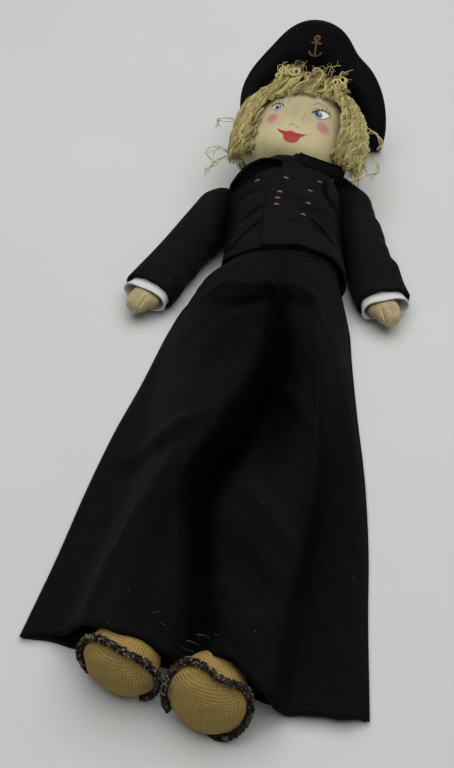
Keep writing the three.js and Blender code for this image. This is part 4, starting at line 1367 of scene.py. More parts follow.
    def loose_threads(self) -> None:
        """Black thread ends that stick out over the ankle at the hem."""
        dice = np.random.default_rng(41 + self.side.value)
        strands = []
        for k in range(self.thread_ends):
            turn = math.radians(90 + (k - self.thread_ends // 2) * 19 + dice.uniform(-6, 6))
            base = np.array([13.5 * math.cos(turn), 22.0, 16.0 * math.sin(turn)])
            out = np.array([math.cos(turn), -0.2, math.sin(turn)])
            side = np.array([-math.sin(turn), dice.uniform(-0.8, 0.4), math.cos(turn)])
            bend = dice.uniform(-5, 5)
            points = curve([base, base + out * 5 + side * bend * 0.4, base + out * 7 + side * bend], LOOP_STEPS)
            strands.append(Strand(self.place(points), np.full(LOOP_STEPS + 1, 0.28), dice.random()))
        mesh = lay_strands(f"thread_ends_{self.side.word}", strands)
        Piece(mesh, self.finishes.black_thread, has_node=False).dress().ride(f"leg_{self.side.word}")

    def build(self) -> None:
        """Builds the leg and its foot."""
        self.limb()
        self.sole()
        self.upper()
        self.fringe()
        self.loose_threads()


JACKET_FOLDS = (
    Fold(((-27.9, -24.2), (-22.3, -18.0), (-16.1, -12.2)), 1.7, 3.2),
    Fold(((-30.0, -4.0), (-22.0, 2.0), (-15.0, 6.0)), 1.7, 4.2),
    Fold(((31.5, 24.0), (33.5, 18.3), (36.0, 12.0)), 1.8, 3.6),
    Fold(((10.0, -3.5), (20.0, -5.0), (31.0, -3.0)), 1.0, 3.2),
    Fold(((19.5, -19.0), (25.0, -26.0), (31.0, -31.0)), 1.4, 2.4),
)
# Lines of painted shade on the jacket: beside its creases, under the pocket welts and along the armholes.
JACKET_SHADE = (
    Hollow(((-28.5, -15.4), (-23.8, -12.6), (-18.9, -6.7), (-13.2, -2.6)), 2.4, 0.62),
    Hollow(((-31.0, 8.0), (-22.2, 12.7), (-15.6, 13.2)), 2.8, 0.5),
    Hollow(((-37.0, 16.0), (-36.0, -3.0), (-37.5, -21.0), (-41.0, -43.0)), 6.0, 0.75),
    Hollow(((-33.5, -38.5), (-27.5, -32.4), (-21.5, -25.4), (-14.0, -18.2)), 1.5, 0.55),
    Hollow(((26.9, 22.3), (26.1, 13.3), (30.1, 7.2), (33.8, 3.4)), 1.9, 0.75),
    Hollow(((14.8, -16.2), (20.5, -24.1), (26.3, -31.0), (31.6, -35.3)), 1.7, 0.65),
    Hollow(((21.2, -17.2), (25.8, -21.4), (30.5, -25.5)), 2.2, 0.45),
    Hollow(((2.0, 1.0), (14.7, -0.4), (29.3, 1.0)), 2.6, 0.28),
    Hollow(((10.0, -8.0), (21.2, -10.0), (31.9, -8.0)), 3.0, 0.32),
    Hollow(((36.5, 12.0), (37.0, -6.0), (37.5, -21.0), (40.0, -40.0)), 4.0, 0.65),
)


@dataclass(frozen=True)
class Panel:
    """How a panel of the jacket is cut: its angles for shares across and heights, and its front edge."""

    name: str
    columns: int
    angles: Shape
    flat: Spot
    hollows: tuple[Hollow, ...] = ()
    lap: float = 0.0  # how far its front edge stands over the panel below
    corner: float = 0.0  # how far its top slopes down to that edge


@dataclass
class Jacket:
    """The double-breasted wool jacket: three panels, a collar, pockets and sewn bars."""

    finishes: Finishes
    side_seam: float = 0.25
    seam_gap: float = 0.02
    flare: float = 3.4
    hem_turns: tuple[float, ...] = (0.0, 0.785, 1.57, 2.36, 3.14, 3.93, 4.71, 5.5, 6.2832)
    hem_heights: tuple[float, ...] = (-42.0, -46.0, -44.0, -49.0, -54.0, -55.0, -51.0, -46.0, -42.0)
    front_edge: tuple[Spot, ...] = (
        (-12.8, -60.0), (-12.8, -40.0), (-13.0, -20.0), (-11.6, -4.0), (-8.6, 8.0), (-4.4, 21.0), (-2.6, 32.0),
        (0.0, 46.0),
    )

    def hem(self, angle: Points) -> Points:
        """Height of the jacket's hem at an angle."""
        turn = np.mod(angle, 2 * math.pi)
        place = np.interp(turn, self.hem_turns, np.linspace(0, 1, len(self.hem_turns)))
        return through(np.array(self.hem_heights)[:, None], place)[:, 0]

    def surface(self, y: Points, angle: Points, grow: Points | float) -> Points:
        """Places on the jacket, which flares to its hem and is creased by its drape."""
        drop = np.clip((SHOULDER_Y - y) / (SHOULDER_Y - HIP_Y), 0, 1)
        return trunk_point(y, JACKET_GROW + grow, angle, self.flare * drop**3)

    def creased(self, points: Points, amount: Points | float) -> Points:
        """Adds the soft drape folds of thick wool to places on the jacket."""
        slant = np.stack([points[:, 0] * 0.8 + points[:, 1] * 0.6, points[:, 1] * 0.25, 0 * points[:, 0]], -1)
        wave = 0.8 * ripple(slant, 17, 51) + 0.35 * ripple(points, 9, 52)
        wave = wave + sum(fold.lift(points[:, :2]) for fold in JACKET_FOLDS)
        front = smooth(TRUNK_RISE - 8, TRUNK_RISE + 12, points[:, 2])
        points = points.copy()
        points[:, 2] += amount * wave * front
        return above(points, TABLE_CLEARANCE)

    def front_x(self, y: Points) -> Points:
        """Where the edge of the upper front runs across the chest."""
        places = np.array(self.front_edge)
        return np.interp(y, places[:, 1], places[:, 0])

    def panel(self, plan: Panel) -> None:
        """One panel from hem to neck.

        Args:
            plan: How it is cut.
        """

        def shape(u: Points, v: Points) -> Points:
            first = plan.angles(u, np.full_like(u, -40.0))
            y = mix(self.hem(first), COLLAR_Y - plan.corner * (1 - smooth(0.0, 0.2, u)), v)
            angle = plan.angles(u, y)
            over = plan.lap * (1 - smooth(0.5, 1.2, angle - math.pi / 2))
            return self.creased(self.surface(y, angle, over), smooth(0.0, 0.06, 1 - v) * CREASE)

        mesh = cut_sheet(plan.name, plan.columns, 84, shape)
        thicken(mesh, WOOL_THICKNESS)
        # Painted shade along the jacket's lines of shade.
        set_shade(mesh, read(mesh)[:, :2], plan.hollows)
        Piece(mesh, self.finishes.wool).dress().ride("trunk")

    def panels(self) -> None:
        """The back and the two fronts, the left one over the right.
        """
        right_edge = math.pi / 2 + 0.34
        left_side = math.pi + self.side_seam
        start = -self.side_seam

        def right(u: Points, y: Points) -> Points:
            return mix(start, right_edge, u)

        def left(u: Points, y: Points) -> Points:
            return mix(front_angle(self.front_x(y)), left_side, u)

        def back(u: Points, y: Points) -> Points:
            return mix(left_side + self.seam_gap, 2 * math.pi + start - self.seam_gap, u)

        plans = (
            Panel("jacket_right_front", 82, right, (0.085, 0.1), JACKET_SHADE),
            Panel("jacket_left_front", 92, left, (0.09, 0.11), JACKET_SHADE, LAP_GROW, 6.5),
            Panel("jacket_back", 84, back, (0.09, 0.11)),
        )
        for plan in plans:
            self.panel(plan)

    def chest(self, x: Points, y: Points, lift: float) -> Points:
        """Places over the jacket's front at places across and along."""
        angle = front_angle(x)
        upper = x > self.front_x(y)
        over = LAP_GROW * (1 - smooth(0.5, 1.2, angle - math.pi / 2)) * upper
        points = self.creased(self.surface(y, angle, over), CREASE)
        points[:, 2] += lift
        return points

    def collar(self) -> None:
        """The collar: rolled out on the right, flat and standing on the left, round the neck behind."""
        base = (
            (-3.0, 35.5, 46.5), (-12.0, 34.2, 45.8), (-20.0, 30.6, 44.0), (-28.5, 23.6, 40.6), (-33.0, 27.0, 30.0),
            (-24.0, 36.0, 11.0), (0.0, 39.0, 8.5), (24.0, 36.0, 11.0), (33.0, 31.0, 28.0), (34.0, 31.0, 36.5),
            (23.5, 31.8, 44.6), (8.0, 37.0, 49.2),
        )
        edge = (
            (-2.5, 36.0, 50.5), (-12.0, 35.0, 52.5), (-21.5, 30.0, 51.5), (-33.0, 20.8, 45.2), (-37.5, 26.0, 29.0),
            (-24.0, 45.0, 13.0), (0.0, 48.0, 12.5), (24.0, 45.0, 13.0), (37.0, 38.0, 27.0), (40.5, 35.6, 43.6),
            (25.5, 37.2, 50.4), (9.0, 43.0, 52.4),
        )
        low, high = np.array(base), np.array(edge)

        def shape(u: Points, v: Points) -> Points:
            foot, lip = through(low, u), through(high, u)
            out = foot - np.array(NECK_MIDDLE)
            out /= np.linalg.norm(out, axis=1)[:, None]
            belly = np.sin(math.pi * np.clip(v, 0, 1)) * 1.2
            points = mix(foot, lip, v[:, None]) + out * belly[:, None]
            points[:, 2] += 0.25 * ripple(points, 12, 61)
            return above(points, 2.5)

        mesh = cut_sheet("collar", 150, 14, shape, turned=True)
        thicken(mesh, COLLAR_THICKNESS)
        change(mesh, "BEVEL", width=0.9 * MM, segments=3, limit_method="ANGLE", angle_limit=math.radians(50))
        # Painted shade: a dark band along the collar's rolled top edge.
        distance, _ = off_path(read(mesh), through(high, np.linspace(0, 1, 60)))
        set_attribute(mesh, "Shade", 0.8 * hump(distance, 0.0, 2.4))
        Piece(mesh, self.finishes.wool).dress().ride("trunk")

    def welt(self, name: str, line: Sequence[Spot], width: float) -> MeshObject:
        """A narrow folded welt along a slanting pocket.

        Args:
            name: Its name and node.
            line: Places across and along the chest.
            width: Its width in millimetres.

        Returns:
            The welt.
        """
        path = curve(line, 24)

        def shape(u: Points, v: Points) -> Points:
            middle = through(path, v)
            run = through(path, np.clip(v + 0.02, 0, 1)) - through(path, np.clip(v - 0.02, 0, 1))
            run /= np.linalg.norm(run, axis=1)[:, None]
            across = np.stack([-run[:, 1], run[:, 0]], -1)
            spot = middle + across * ((u - 0.5) * width)[:, None]
            dome = 0.9 * np.sqrt(np.clip(1 - (2 * u - 1) ** 2, 0, 1))
            points = self.chest(spot[:, 0], spot[:, 1], 0.1)
            points[:, 2] += dome
            return points

        mesh = cut_sheet(name, 10, 40, shape)
        if sum(face.normal.z for face in mesh.data.polygons) < 0:
            flip(mesh)
        thicken(mesh, WELT_THICKNESS)
        Piece(mesh, self.finishes.wool).dress().ride("trunk")
        return mesh

    def bar(self, name: str, x: float, y: float, slant: float) -> None:
        """A sewn bar of bronze thread that stands in for a button.

        Args:
            name: Its name and node.
            x: Place across the chest.
            y: Place along the chest.
            slant: Turn from level in degrees.
        """
        dice = np.random.default_rng(int(abs(x) * 97 + abs(y) * 13))
        turn = math.radians(slant)
        run, side = np.array([math.cos(turn), math.sin(turn)]), np.array([-math.sin(turn), math.cos(turn)])
        strands = []
        steps = np.linspace(-1, 1, LOOP_STEPS + 1)
        for k in (-2, -1, 0, 1, 2):
            reach = 1.75 - 0.2 * abs(k) + dice.uniform(-0.2, 0.2)
            spots = np.array([np.array([x, y]) + side * (k * 0.3) + run * step * reach for step in steps])
            points = self.chest(spots[:, 0], spots[:, 1], 0.0)
            points[:, 2] += np.sqrt(np.clip(1 - steps**2, 0, 1)) * (0.7 - 0.1 * abs(k))
            strands.append(Strand(points, np.full(len(steps), 0.26), 0.2 + 0.7 * dice.random()))
        mesh = lay_strands(name, strands)
        Piece(mesh, self.finishes.bronze).dress().ride("trunk")

    def build(self) -> None:
        """Builds the jacket's body, collar, pockets and bars."""
        right = self.welt("pocket_flap_right", ((-33.4, -36.0), (-27.6, -29.6), (-21.2, -22.4), (-14.0, -15.2)), 3.4)
        left = self.welt("pocket_flap_left", ((16.5, -16.6), (21.4, -23.6), (26.6, -29.6), (31.0, -33.6)), 3.4)
        breast = self.welt("breast_pocket_welt", ((28.0, 22.5), (27.6, 14.6), (31.5, 8.6)), 2.6)
        self.panels()
        self.collar()
        outer = ((21.4, 21.5), (15.5, 10.0), (14.0, -5.0), (11.0, -15.5))
        inner = ((0.2, 19.5), (-3.6, 6.0), (-4.8, 0.5), (-5.3, -6.5))
        for k, (x, y) in enumerate(outer, 1):
            self.bar(f"button_outer_{k}", x, y, -22.0)
        for k, (x, y) in enumerate(inner, 1):
            self.bar(f"button_inner_{k}", x, y, -12.0 if k < 3 else -4.0)
        self.bar("button_lapel", -19.2, 23.0, 12.0)


@dataclass
class Arm:
    """A sleeve with its cotton lining, the stuffed arm and the mitten hand."""

    finishes: Finishes
    side: Side
    pivot: Place
    spread: float
    head: float
    length: float = 83.0
    half_widths: tuple[float, float, float] = (16.0, 16.0, 18.0)
    half_depths: tuple[float, float, float] = (16.6, 14.0, 11.5)
    crown: float = 0.94
    squareness: float = 2.2
    armhole_x: float = 37.2
    arm_length: float = 79.0
    hand_length: float = 24.0
    hand_half_width: float = 8.4
    hand_half_depth: float = 6.8
    lining_shows: float = 6.5
    hem_depth: float = 7.0
    hem_fullness: float = 1.5
    slope: float = 5.0
    ridge: Fold = Fold(((-50.0, 8.0), (-62.0, -18.0), (-80.0, -44.0)), 1.4, 5.0)

    def frame(self) -> Frame:
        """The arm's frame at the shoulder."""
        return Frame(self.pivot, turn=self.side.value * self.spread)

    def size(self, sizes: tuple[float, float, float], distance: Points) -> Points:
        """A size at a distance from the shoulder, through its values at shoulder, elbow and cuff."""
        return through(np.array(sizes)[:, None], np.clip(distance / self.length, 0, 1))[:, 0]

    def middle(self, distance: Points) -> Points:
        """Height of the sleeve's middle in the arm's frame."""
        return self.size(self.half_depths, distance) - 0.3 - self.pivot[2]

    def oval(self, distance: Points, angle: Points, inset: Points | float) -> Points:
        """Places round the sleeve in the arm's frame."""
        beyond = np.clip(-distance / self.head, 0, 1)
        share = np.sqrt(1 - beyond**2 * self.crown)
        across = power(np.cos(angle), 2 / self.squareness)
        rise = power(np.sin(angle), 2 / self.squareness)
        width = (self.size(self.half_widths, distance) - inset) * share
        depth = (self.size(self.half_depths, distance) - inset) * share
        return np.stack([-width * across, -distance, self.middle(distance) + depth * rise], -1)

    def settle(self, local: Points, clear: float) -> Points:
        """Carries places to the row frame, outside the armhole and above the table."""
        points = self.frame().place(local)
        out = self.side.value
        points[:, 0] = out * np.maximum(out * points[:, 0], self.armhole_x)
        return above(points, clear)

    def sleeve(self) -> None:
        """The wide sleeve, with soft folds, a turned cuff and painted shade along the armhole."""
        seed = 71 + self.side.value

        def shape(u: Points, v: Points) -> Points:
            distance = mix(-self.head, self.length, v)
            local = self.oval(distance, 2 * math.pi * u, 0.0)
            slant = np.stack([local[:, 0] * 0.5, local[:, 1], local[:, 2] * 0.5], -1)
            bend = smooth(0.12, 0.35, v) * (0.8 * ripple(slant, 24, seed) + 0.4 * ripple(local, 11, seed + 4))
            local[:, 2] += bend * smooth(-6, 6, local[:, 2] - self.middle(distance))
            local[:, 0] += 0.6 * bend
            points = self.settle(local, TABLE_CLEARANCE)
            near = 1 - smooth(0.0, 16.0, self.side.value * points[:, 0] - self.armhole_x)
            points[:, 1] += self.slope * near * smooth(-8.0, self.head, -distance)
            points[:, 2] += self.ridge.lift(points[:, :2]) * smooth(0, 8, local[:, 2] - self.middle(distance))
            return points

        mesh = cut_sheet(f"sleeve_{self.side.word}", 96, 96, shape, turned=True)
        mark_hem(mesh, -self.frame().inside(read(mesh))[:, 1] > self.length - self.hem_depth)
        thicken(mesh, WOOL_THICKNESS, self.hem_fullness)
        points = read(mesh)
        # Painted shade: the sleeve darkens towards the armhole, less so near the shoulder.
        inside = 1 - smooth(0.0, 14.0, self.side.value * points[:, 0] - self.armhole_x)
        set_attribute(mesh, "Shade", 0.72 * inside * (1 - 0.6 * smooth(14.0, 32.0, points[:, 1])))
        piece = Piece(mesh, self.finishes.wool).dress()
        self.bend(piece)

    def bend(self, piece: Piece) -> None:
        """Hands a piece to Piece.bend with the armhole's two points, which only bakes its transform."""
        out = self.side.value
        start = np.array([out * self.armhole_x, self.pivot[1], self.pivot[2]])
        end = start + np.array([out * 12.0, 0.0, 0.0])
        piece.bend("trunk", f"arm_{self.side.word}", start, end)

    def lining(self) -> None:
        """The white cotton lining, which shows past the wool."""

        def shape(u: Points, v: Points) -> Points:
            distance = mix(self.length - 24, self.length + self.lining_shows, v)
            local = self.oval(distance, 2 * math.pi * u, 3.4 - 1.2 * smooth(0.8, 1.0, v))
            wave = ripple(local * (1, 0, 1), 16, 83)
            local[:, 1] -= 0.7 * wave * smooth(0.7, 1.0, v)
            return self.settle(local, 2.4)

        mesh = cut_sheet(f"cuff_{self.side.word}", 84, 30, shape, turned=True)
        thicken(mesh, LINING_THICKNESS)
        Piece(mesh, self.finishes.cotton).dress().ride(f"arm_{self.side.word}")

    def limb(self) -> None:
        """The stuffed arm inside the sleeve."""

        def shape(turn: Points, share: Points) -> Points:
            along = from_pole(share)
            distance = mix(2.0, self.arm_length, along)
            radius = mix(9.5, 7.4, along) * closing(share, 14)
            rise = self.middle(distance) + radius * np.sin(turn)
            local = np.stack([radius * np.cos(turn), -distance, rise], -1)
            return self.frame().place(local * (1 + 0.01 * ripple(local, 18, 91))[:, None])

        mesh = stuffed(f"arm_{self.side.word}", 32, 40, shape)
        set_uv(mesh, read(mesh)[:, :2])
        upholster(mesh, self.finishes.limb, f"arm_{self.side.word}")

    def hand(self) -> None:
        """The stuffed mitten, drawn in along three lines of finger stitches."""
        inward = -self.side.value

        def shape(turn: Points, share: Points) -> Points:
            along = from_pole(share)
            girth = np.sin(share * math.pi) ** 0.62
            palm = mix(0.8, 1.0, smooth(0.0, 0.5, along))
            across = self.hand_half_width * girth * palm * np.cos(turn)
            rise = self.hand_half_depth * girth * palm * np.sin(turn)
            distance = self.arm_length - 1 + (self.hand_length + 1) * along
            fingers = smooth(0.5, 0.75, along)
            for place in (-4.6, 0.2, 4.8):
                rise = rise * (1 - 0.28 * (hump(across, place, 0.75) * fingers))
            thumb = hump(along, 0.45, 0.16) * np.clip(np.cos(turn) * inward, 0, 1) ** 2
            across = across + inward * 3.2 * thumb
            local = np.stack([across, -distance, self.middle(np.full_like(along, self.arm_length)) + rise + 0.5], -1)
            local[:, 2] += 0.25 * ripple(local, 9, 95)
            return local

        mesh = stuffed(f"hand_{self.side.word}", 96, 72, shape)
        local = read(mesh)
        set_uv(mesh, local[:, :2])
        write(mesh, self.settle(local, 0.6))
        upholster(mesh, self.finishes.canvas, f"arm_{self.side.word}")

    def build(self) -> None:
        """Builds the arm from the inside out."""
        self.limb()
        self.hand()
        self.lining()
        self.sleeve()


@dataclass(frozen=True)
class Brush:
    """A painted mark on the face: a line of places across and up, its width, colour and softness."""

    line: tuple[Spot, ...]
    width: float
    colour: str
    soft: float = 0.3
    strength: float = 1.0

    def cover(self, spots: Points) -> Points:
        """How much of each place the mark covers, thinner at its ends."""
        distance, along = off_path(spots, curve(self.line, 20))
        half = self.width / 2 * (0.55 + 0.45 * np.sin(math.pi * along))
        return self.strength * (1 - smooth(-self.soft, self.soft, distance - half))


@dataclass(frozen=True)
class Wash:
    """A painted area with an outline, its colour and how softly it ends."""

    outline: tuple[Spot, ...]
    colour: str
    soft: float = 0.3
    strength: float = 1.0

    def cover(self, spots: Points) -> Points:
        """How much of each place the area covers."""
        ring = np.array(self.outline + self.outline[:1])
        inside = np.zeros(len(spots), bool)
        for (ax, ay), (bx, by) in zip(ring[:-1], ring[1:]):
            crosses = (ay > spots[:, 1]) != (by > spots[:, 1])
            slant = (bx - ax) * (spots[:, 1] - ay) / (by - ay if by != ay else 1e-9) + ax
            inside ^= crosses & (spots[:, 0] < slant)
        distance, _ = off_path(spots, ring)
        signed = np.where(inside, -distance, distance)
        return self.strength * (1 - smooth(-self.soft, self.soft, signed))


def round_wash(x: float, y: float, wide: float, tall: float, colour: str, soft: float, strength: float = 1.0) -> Wash:
    """A painted oval.

    Args:
        x: Its middle across.
        y: Its middle up.
        wide: Half of its width.
        tall: Half of its height.
        colour: Its colour.
        soft: How softly it ends.
        strength: How much it covers.

    Returns:
        The area.
    """
    turns = np.linspace(0, 2 * math.pi, 25)[:-1]
    ring = tuple((x + wide * math.cos(t), y + tall * math.sin(t)) for t in turns)
    return Wash(ring, colour, soft, strength)


def lashes(*lines: tuple[Spot, Spot]) -> tuple[Brush, ...]:
    """Painted lashes, all drawn with the same fine brush."""
    return tuple(Brush(line, 0.75, LASH, 0.25) for line in lines)


SKIN_TONE = "#cabd93"
LASH = "#1c1c1a"
BROW = "#4b4634"
IRIS = "#58718f"
FACE_MARKS: tuple[Brush | Wash, ...] = (
    round_wash(2.0, 34.0, 34.0, 24.0, "#ada17d", 18.0, 0.95),  # painted shade: the upper face is darker, against the overhead light that brightens it
    round_wash(-14.5, 15.6, 3.6, 4.6, "#b47378", 1.6, 0.85),
    round_wash(20.8, 18.3, 4.2, 4.4, "#b47378", 1.6, 0.9),
    Wash(((11.4, 25.1), (12.7, 28.9), (15.2, 32.0), (18.9, 34.0), (22.6, 33.4), (21.1, 28.6), (18.5, 25.0),
          (14.8, 23.4)), "#dedbd0", 0.3),
    round_wash(15.2, 27.6, 2.9, 3.4, "#262e3a", 0.4),
    round_wash(15.3, 27.4, 2.1, 2.4, IRIS, 0.4),
    round_wash(14.8, 27.7, 1.2, 1.4, "#141a24", 0.25),
    round_wash(15.8, 29.2, 0.6, 0.6, "#f4f4f2", 0.2),
    Brush(((11.2, 25.1), (12.4, 28.9), (15.2, 32.5), (18.9, 34.5), (23.2, 34.0)), 1.4, LASH, 0.25),
    Brush(((11.5, 24.8), (14.9, 23.1), (18.6, 24.8), (21.3, 28.6), (23.0, 33.5)), 0.8, "#3c3a36", 0.3, 0.85),
    *lashes(
        ((12.2, 27.9), (10.3, 28.9)), ((13.7, 30.7), (11.9, 32.2)), ((15.3, 32.0), (13.6, 34.4)),
        ((17.3, 33.3), (16.2, 36.5)), ((19.3, 34.2), (18.9, 37.8)), ((21.3, 34.2), (21.7, 38.0)),
    ),
    Brush(((10.1, 35.4), (12.0, 38.7), (15.9, 40.0), (20.8, 38.4)), 0.7, BROW, 0.3),
    Wash(((-17.3, 27.4), (-16.8, 30.3), (-14.5, 31.7), (-11.1, 30.3), (-10.1, 26.1), (-12.3, 24.2), (-15.6, 25.2)),
         "#d6d2c6", 0.3),
    round_wash(-13.4, 27.8, 2.4, 3.0, "#2c343f", 0.4),
    round_wash(-13.3, 27.5, 1.7, 2.1, IRIS, 0.4),
    round_wash(-13.7, 27.9, 1.0, 1.2, "#141a24", 0.25),
    round_wash(-12.9, 29.1, 0.5, 0.5, "#f4f4f2", 0.2),
    Brush(((-18.2, 28.6), (-17.1, 31.2), (-14.5, 32.4), (-10.9, 30.8), (-9.7, 27.6)), 1.2, LASH, 0.25),
    Brush(((-17.3, 27.1), (-15.2, 24.7), (-12.2, 23.7), (-10.0, 25.9)), 0.7, "#44423c", 0.3, 0.8),
    *lashes(
        ((-17.3, 31.0), (-18.9, 33.0)), ((-15.7, 32.0), (-16.9, 34.7)), ((-13.9, 32.4), (-14.4, 35.1)),
        ((-12.1, 31.7), (-11.9, 34.4)),
    ),
    Brush(((-17.9, 35.9), (-14.6, 38.8), (-11.2, 36.9)), 0.65, BROW, 0.3),
    Brush(((-8.4, 36.3), (-7.0, 35.3)), 0.9, BROW, 0.3, 0.8),
    Brush(((8.2, 23.9), (6.8, 20.8), (6.9, 16.9), (7.7, 13.0)), 0.45, "#7c7350", 0.35, 0.75),
    Brush(((-1.0, 9.0), (0.5, 11.0), (2.4, 10.5)), 0.8, "#6d5c3c", 0.35, 0.85),
    Brush(((3.2, 9.7), (4.5, 9.2), (5.9, 10.0)), 0.8, "#6d5c3c", 0.35, 0.8),
    Wash(((-8.9, 6.2), (-5.5, 4.6), (-1.7, 4.3), (1.4, 5.4), (4.9, 4.6), (8.7, 4.9), (12.6, 6.2), (8.6, 2.4),
          (2.9, 1.6), (-2.8, 1.6), (-6.2, 3.0)), "#b13029", 0.25),
    Wash(((-3.6, 1.8), (-2.1, -1.2), (0.3, -2.0), (3.2, -2.2), (6.8, -1.3), (9.0, 2.4), (2.9, 1.7)), "#ac4644", 0.25),
    Brush(((-8.0, 4.9), (-2.8, 2.0), (2.9, 1.8), (8.5, 2.6), (12.4, 5.7)), 0.45, "#8c211f", 0.25, 0.8),
    Brush(((13.0, 5.8), (14.7, 7.9)), 0.7, "#8a7a50", 0.4, 0.7),
)


# Lines of the hair in the head's frame: each side from its inner to its outer edge, root to tip
LOCK_STEPS = 22
LOCK_STRANDS = 11
SIDE_LOCK_COUNT = 66
STRAY_LOCKS = 3  # at each line of strays
FRINGE_LOCKS = 52
RINGLETS = 20
WISPS = 26
HANGS_FROM, LIES_AT = (0.0, 64.0, 30.0), (0.0, 36.0, 30.0)  # where the side hair leaves the head, and where it lies on the trunk
SIDE_LOCKS = {
    Side.RIGHT: (
        ((-19.0, 57.0, 28.0), (-24.0, 40.0, 27.0), (-25.0, 18.0, 25.0), (-24.0, 4.0, 18.0), (-23.0, -5.0, 10.0)),
        ((-31.0, 58.0, 12.0), (-41.0, 48.0, 11.0), (-44.0, 33.0, 8.0), (-42.0, 10.0, 4.0), (-37.0, -9.0, 2.0)),
    ),
    Side.LEFT: (
        ((21.0, 58.0, 28.0), (27.0, 47.0, 27.0), (32.0, 29.0, 25.0), (35.0, 9.0, 20.0), (36.0, -4.0, 13.0)),
        ((30.0, 60.0, 16.0), (41.0, 53.0, 13.0), (48.0, 38.0, 11.0), (53.0, 20.0, 8.0), (52.0, -9.0, 7.0)),
    ),
}
HAIRLINE = ((-22.0, 38.0, 26.5), (-9.0, 42.5, 30.0), (8.0, 46.0, 30.5), (24.0, 48.0, 27.5))
FRINGE_TOP = ((-22.0, 59.0, 29.0), (-9.0, 63.0, 33.0), (7.0, 63.0, 33.5), (19.0, 62.0, 31.5), (30.0, 57.0, 26.0))
STRAYS = {
    "hair_right": (
        ((-43.0, 30.0, 8.0), (-52.0, 33.0, 6.0), (-58.0, 30.0, 4.0), (-56.0, 24.0, 4.0)),
        ((-41.0, 2.0, 4.0), (-50.0, 6.0, 2.0), (-54.0, -4.0, 1.0), (-47.0, -14.0, 2.0)),
        ((-40.0, -4.0, 3.0), (-46.0, -12.0, 2.0), (-52.0, -20.0, 1.0), (-49.0, -24.0, 1.0)),
    ),
    "hair_left": (
        ((47.0, 42.0, 11.0), (56.0, 41.0, 10.0), (61.0, 31.0, 8.0), (59.0, 24.0, 8.0)),
        ((51.0, 14.0, 8.0), (59.0, 12.0, 7.0), (63.0, 4.0, 6.0), (60.0, -3.0, 6.0)),
        ((50.0, 4.0, 8.0), (55.0, -4.0, 8.0), (53.0, -12.0, 8.0), (47.0, -13.0, 8.0)),
    ),
}


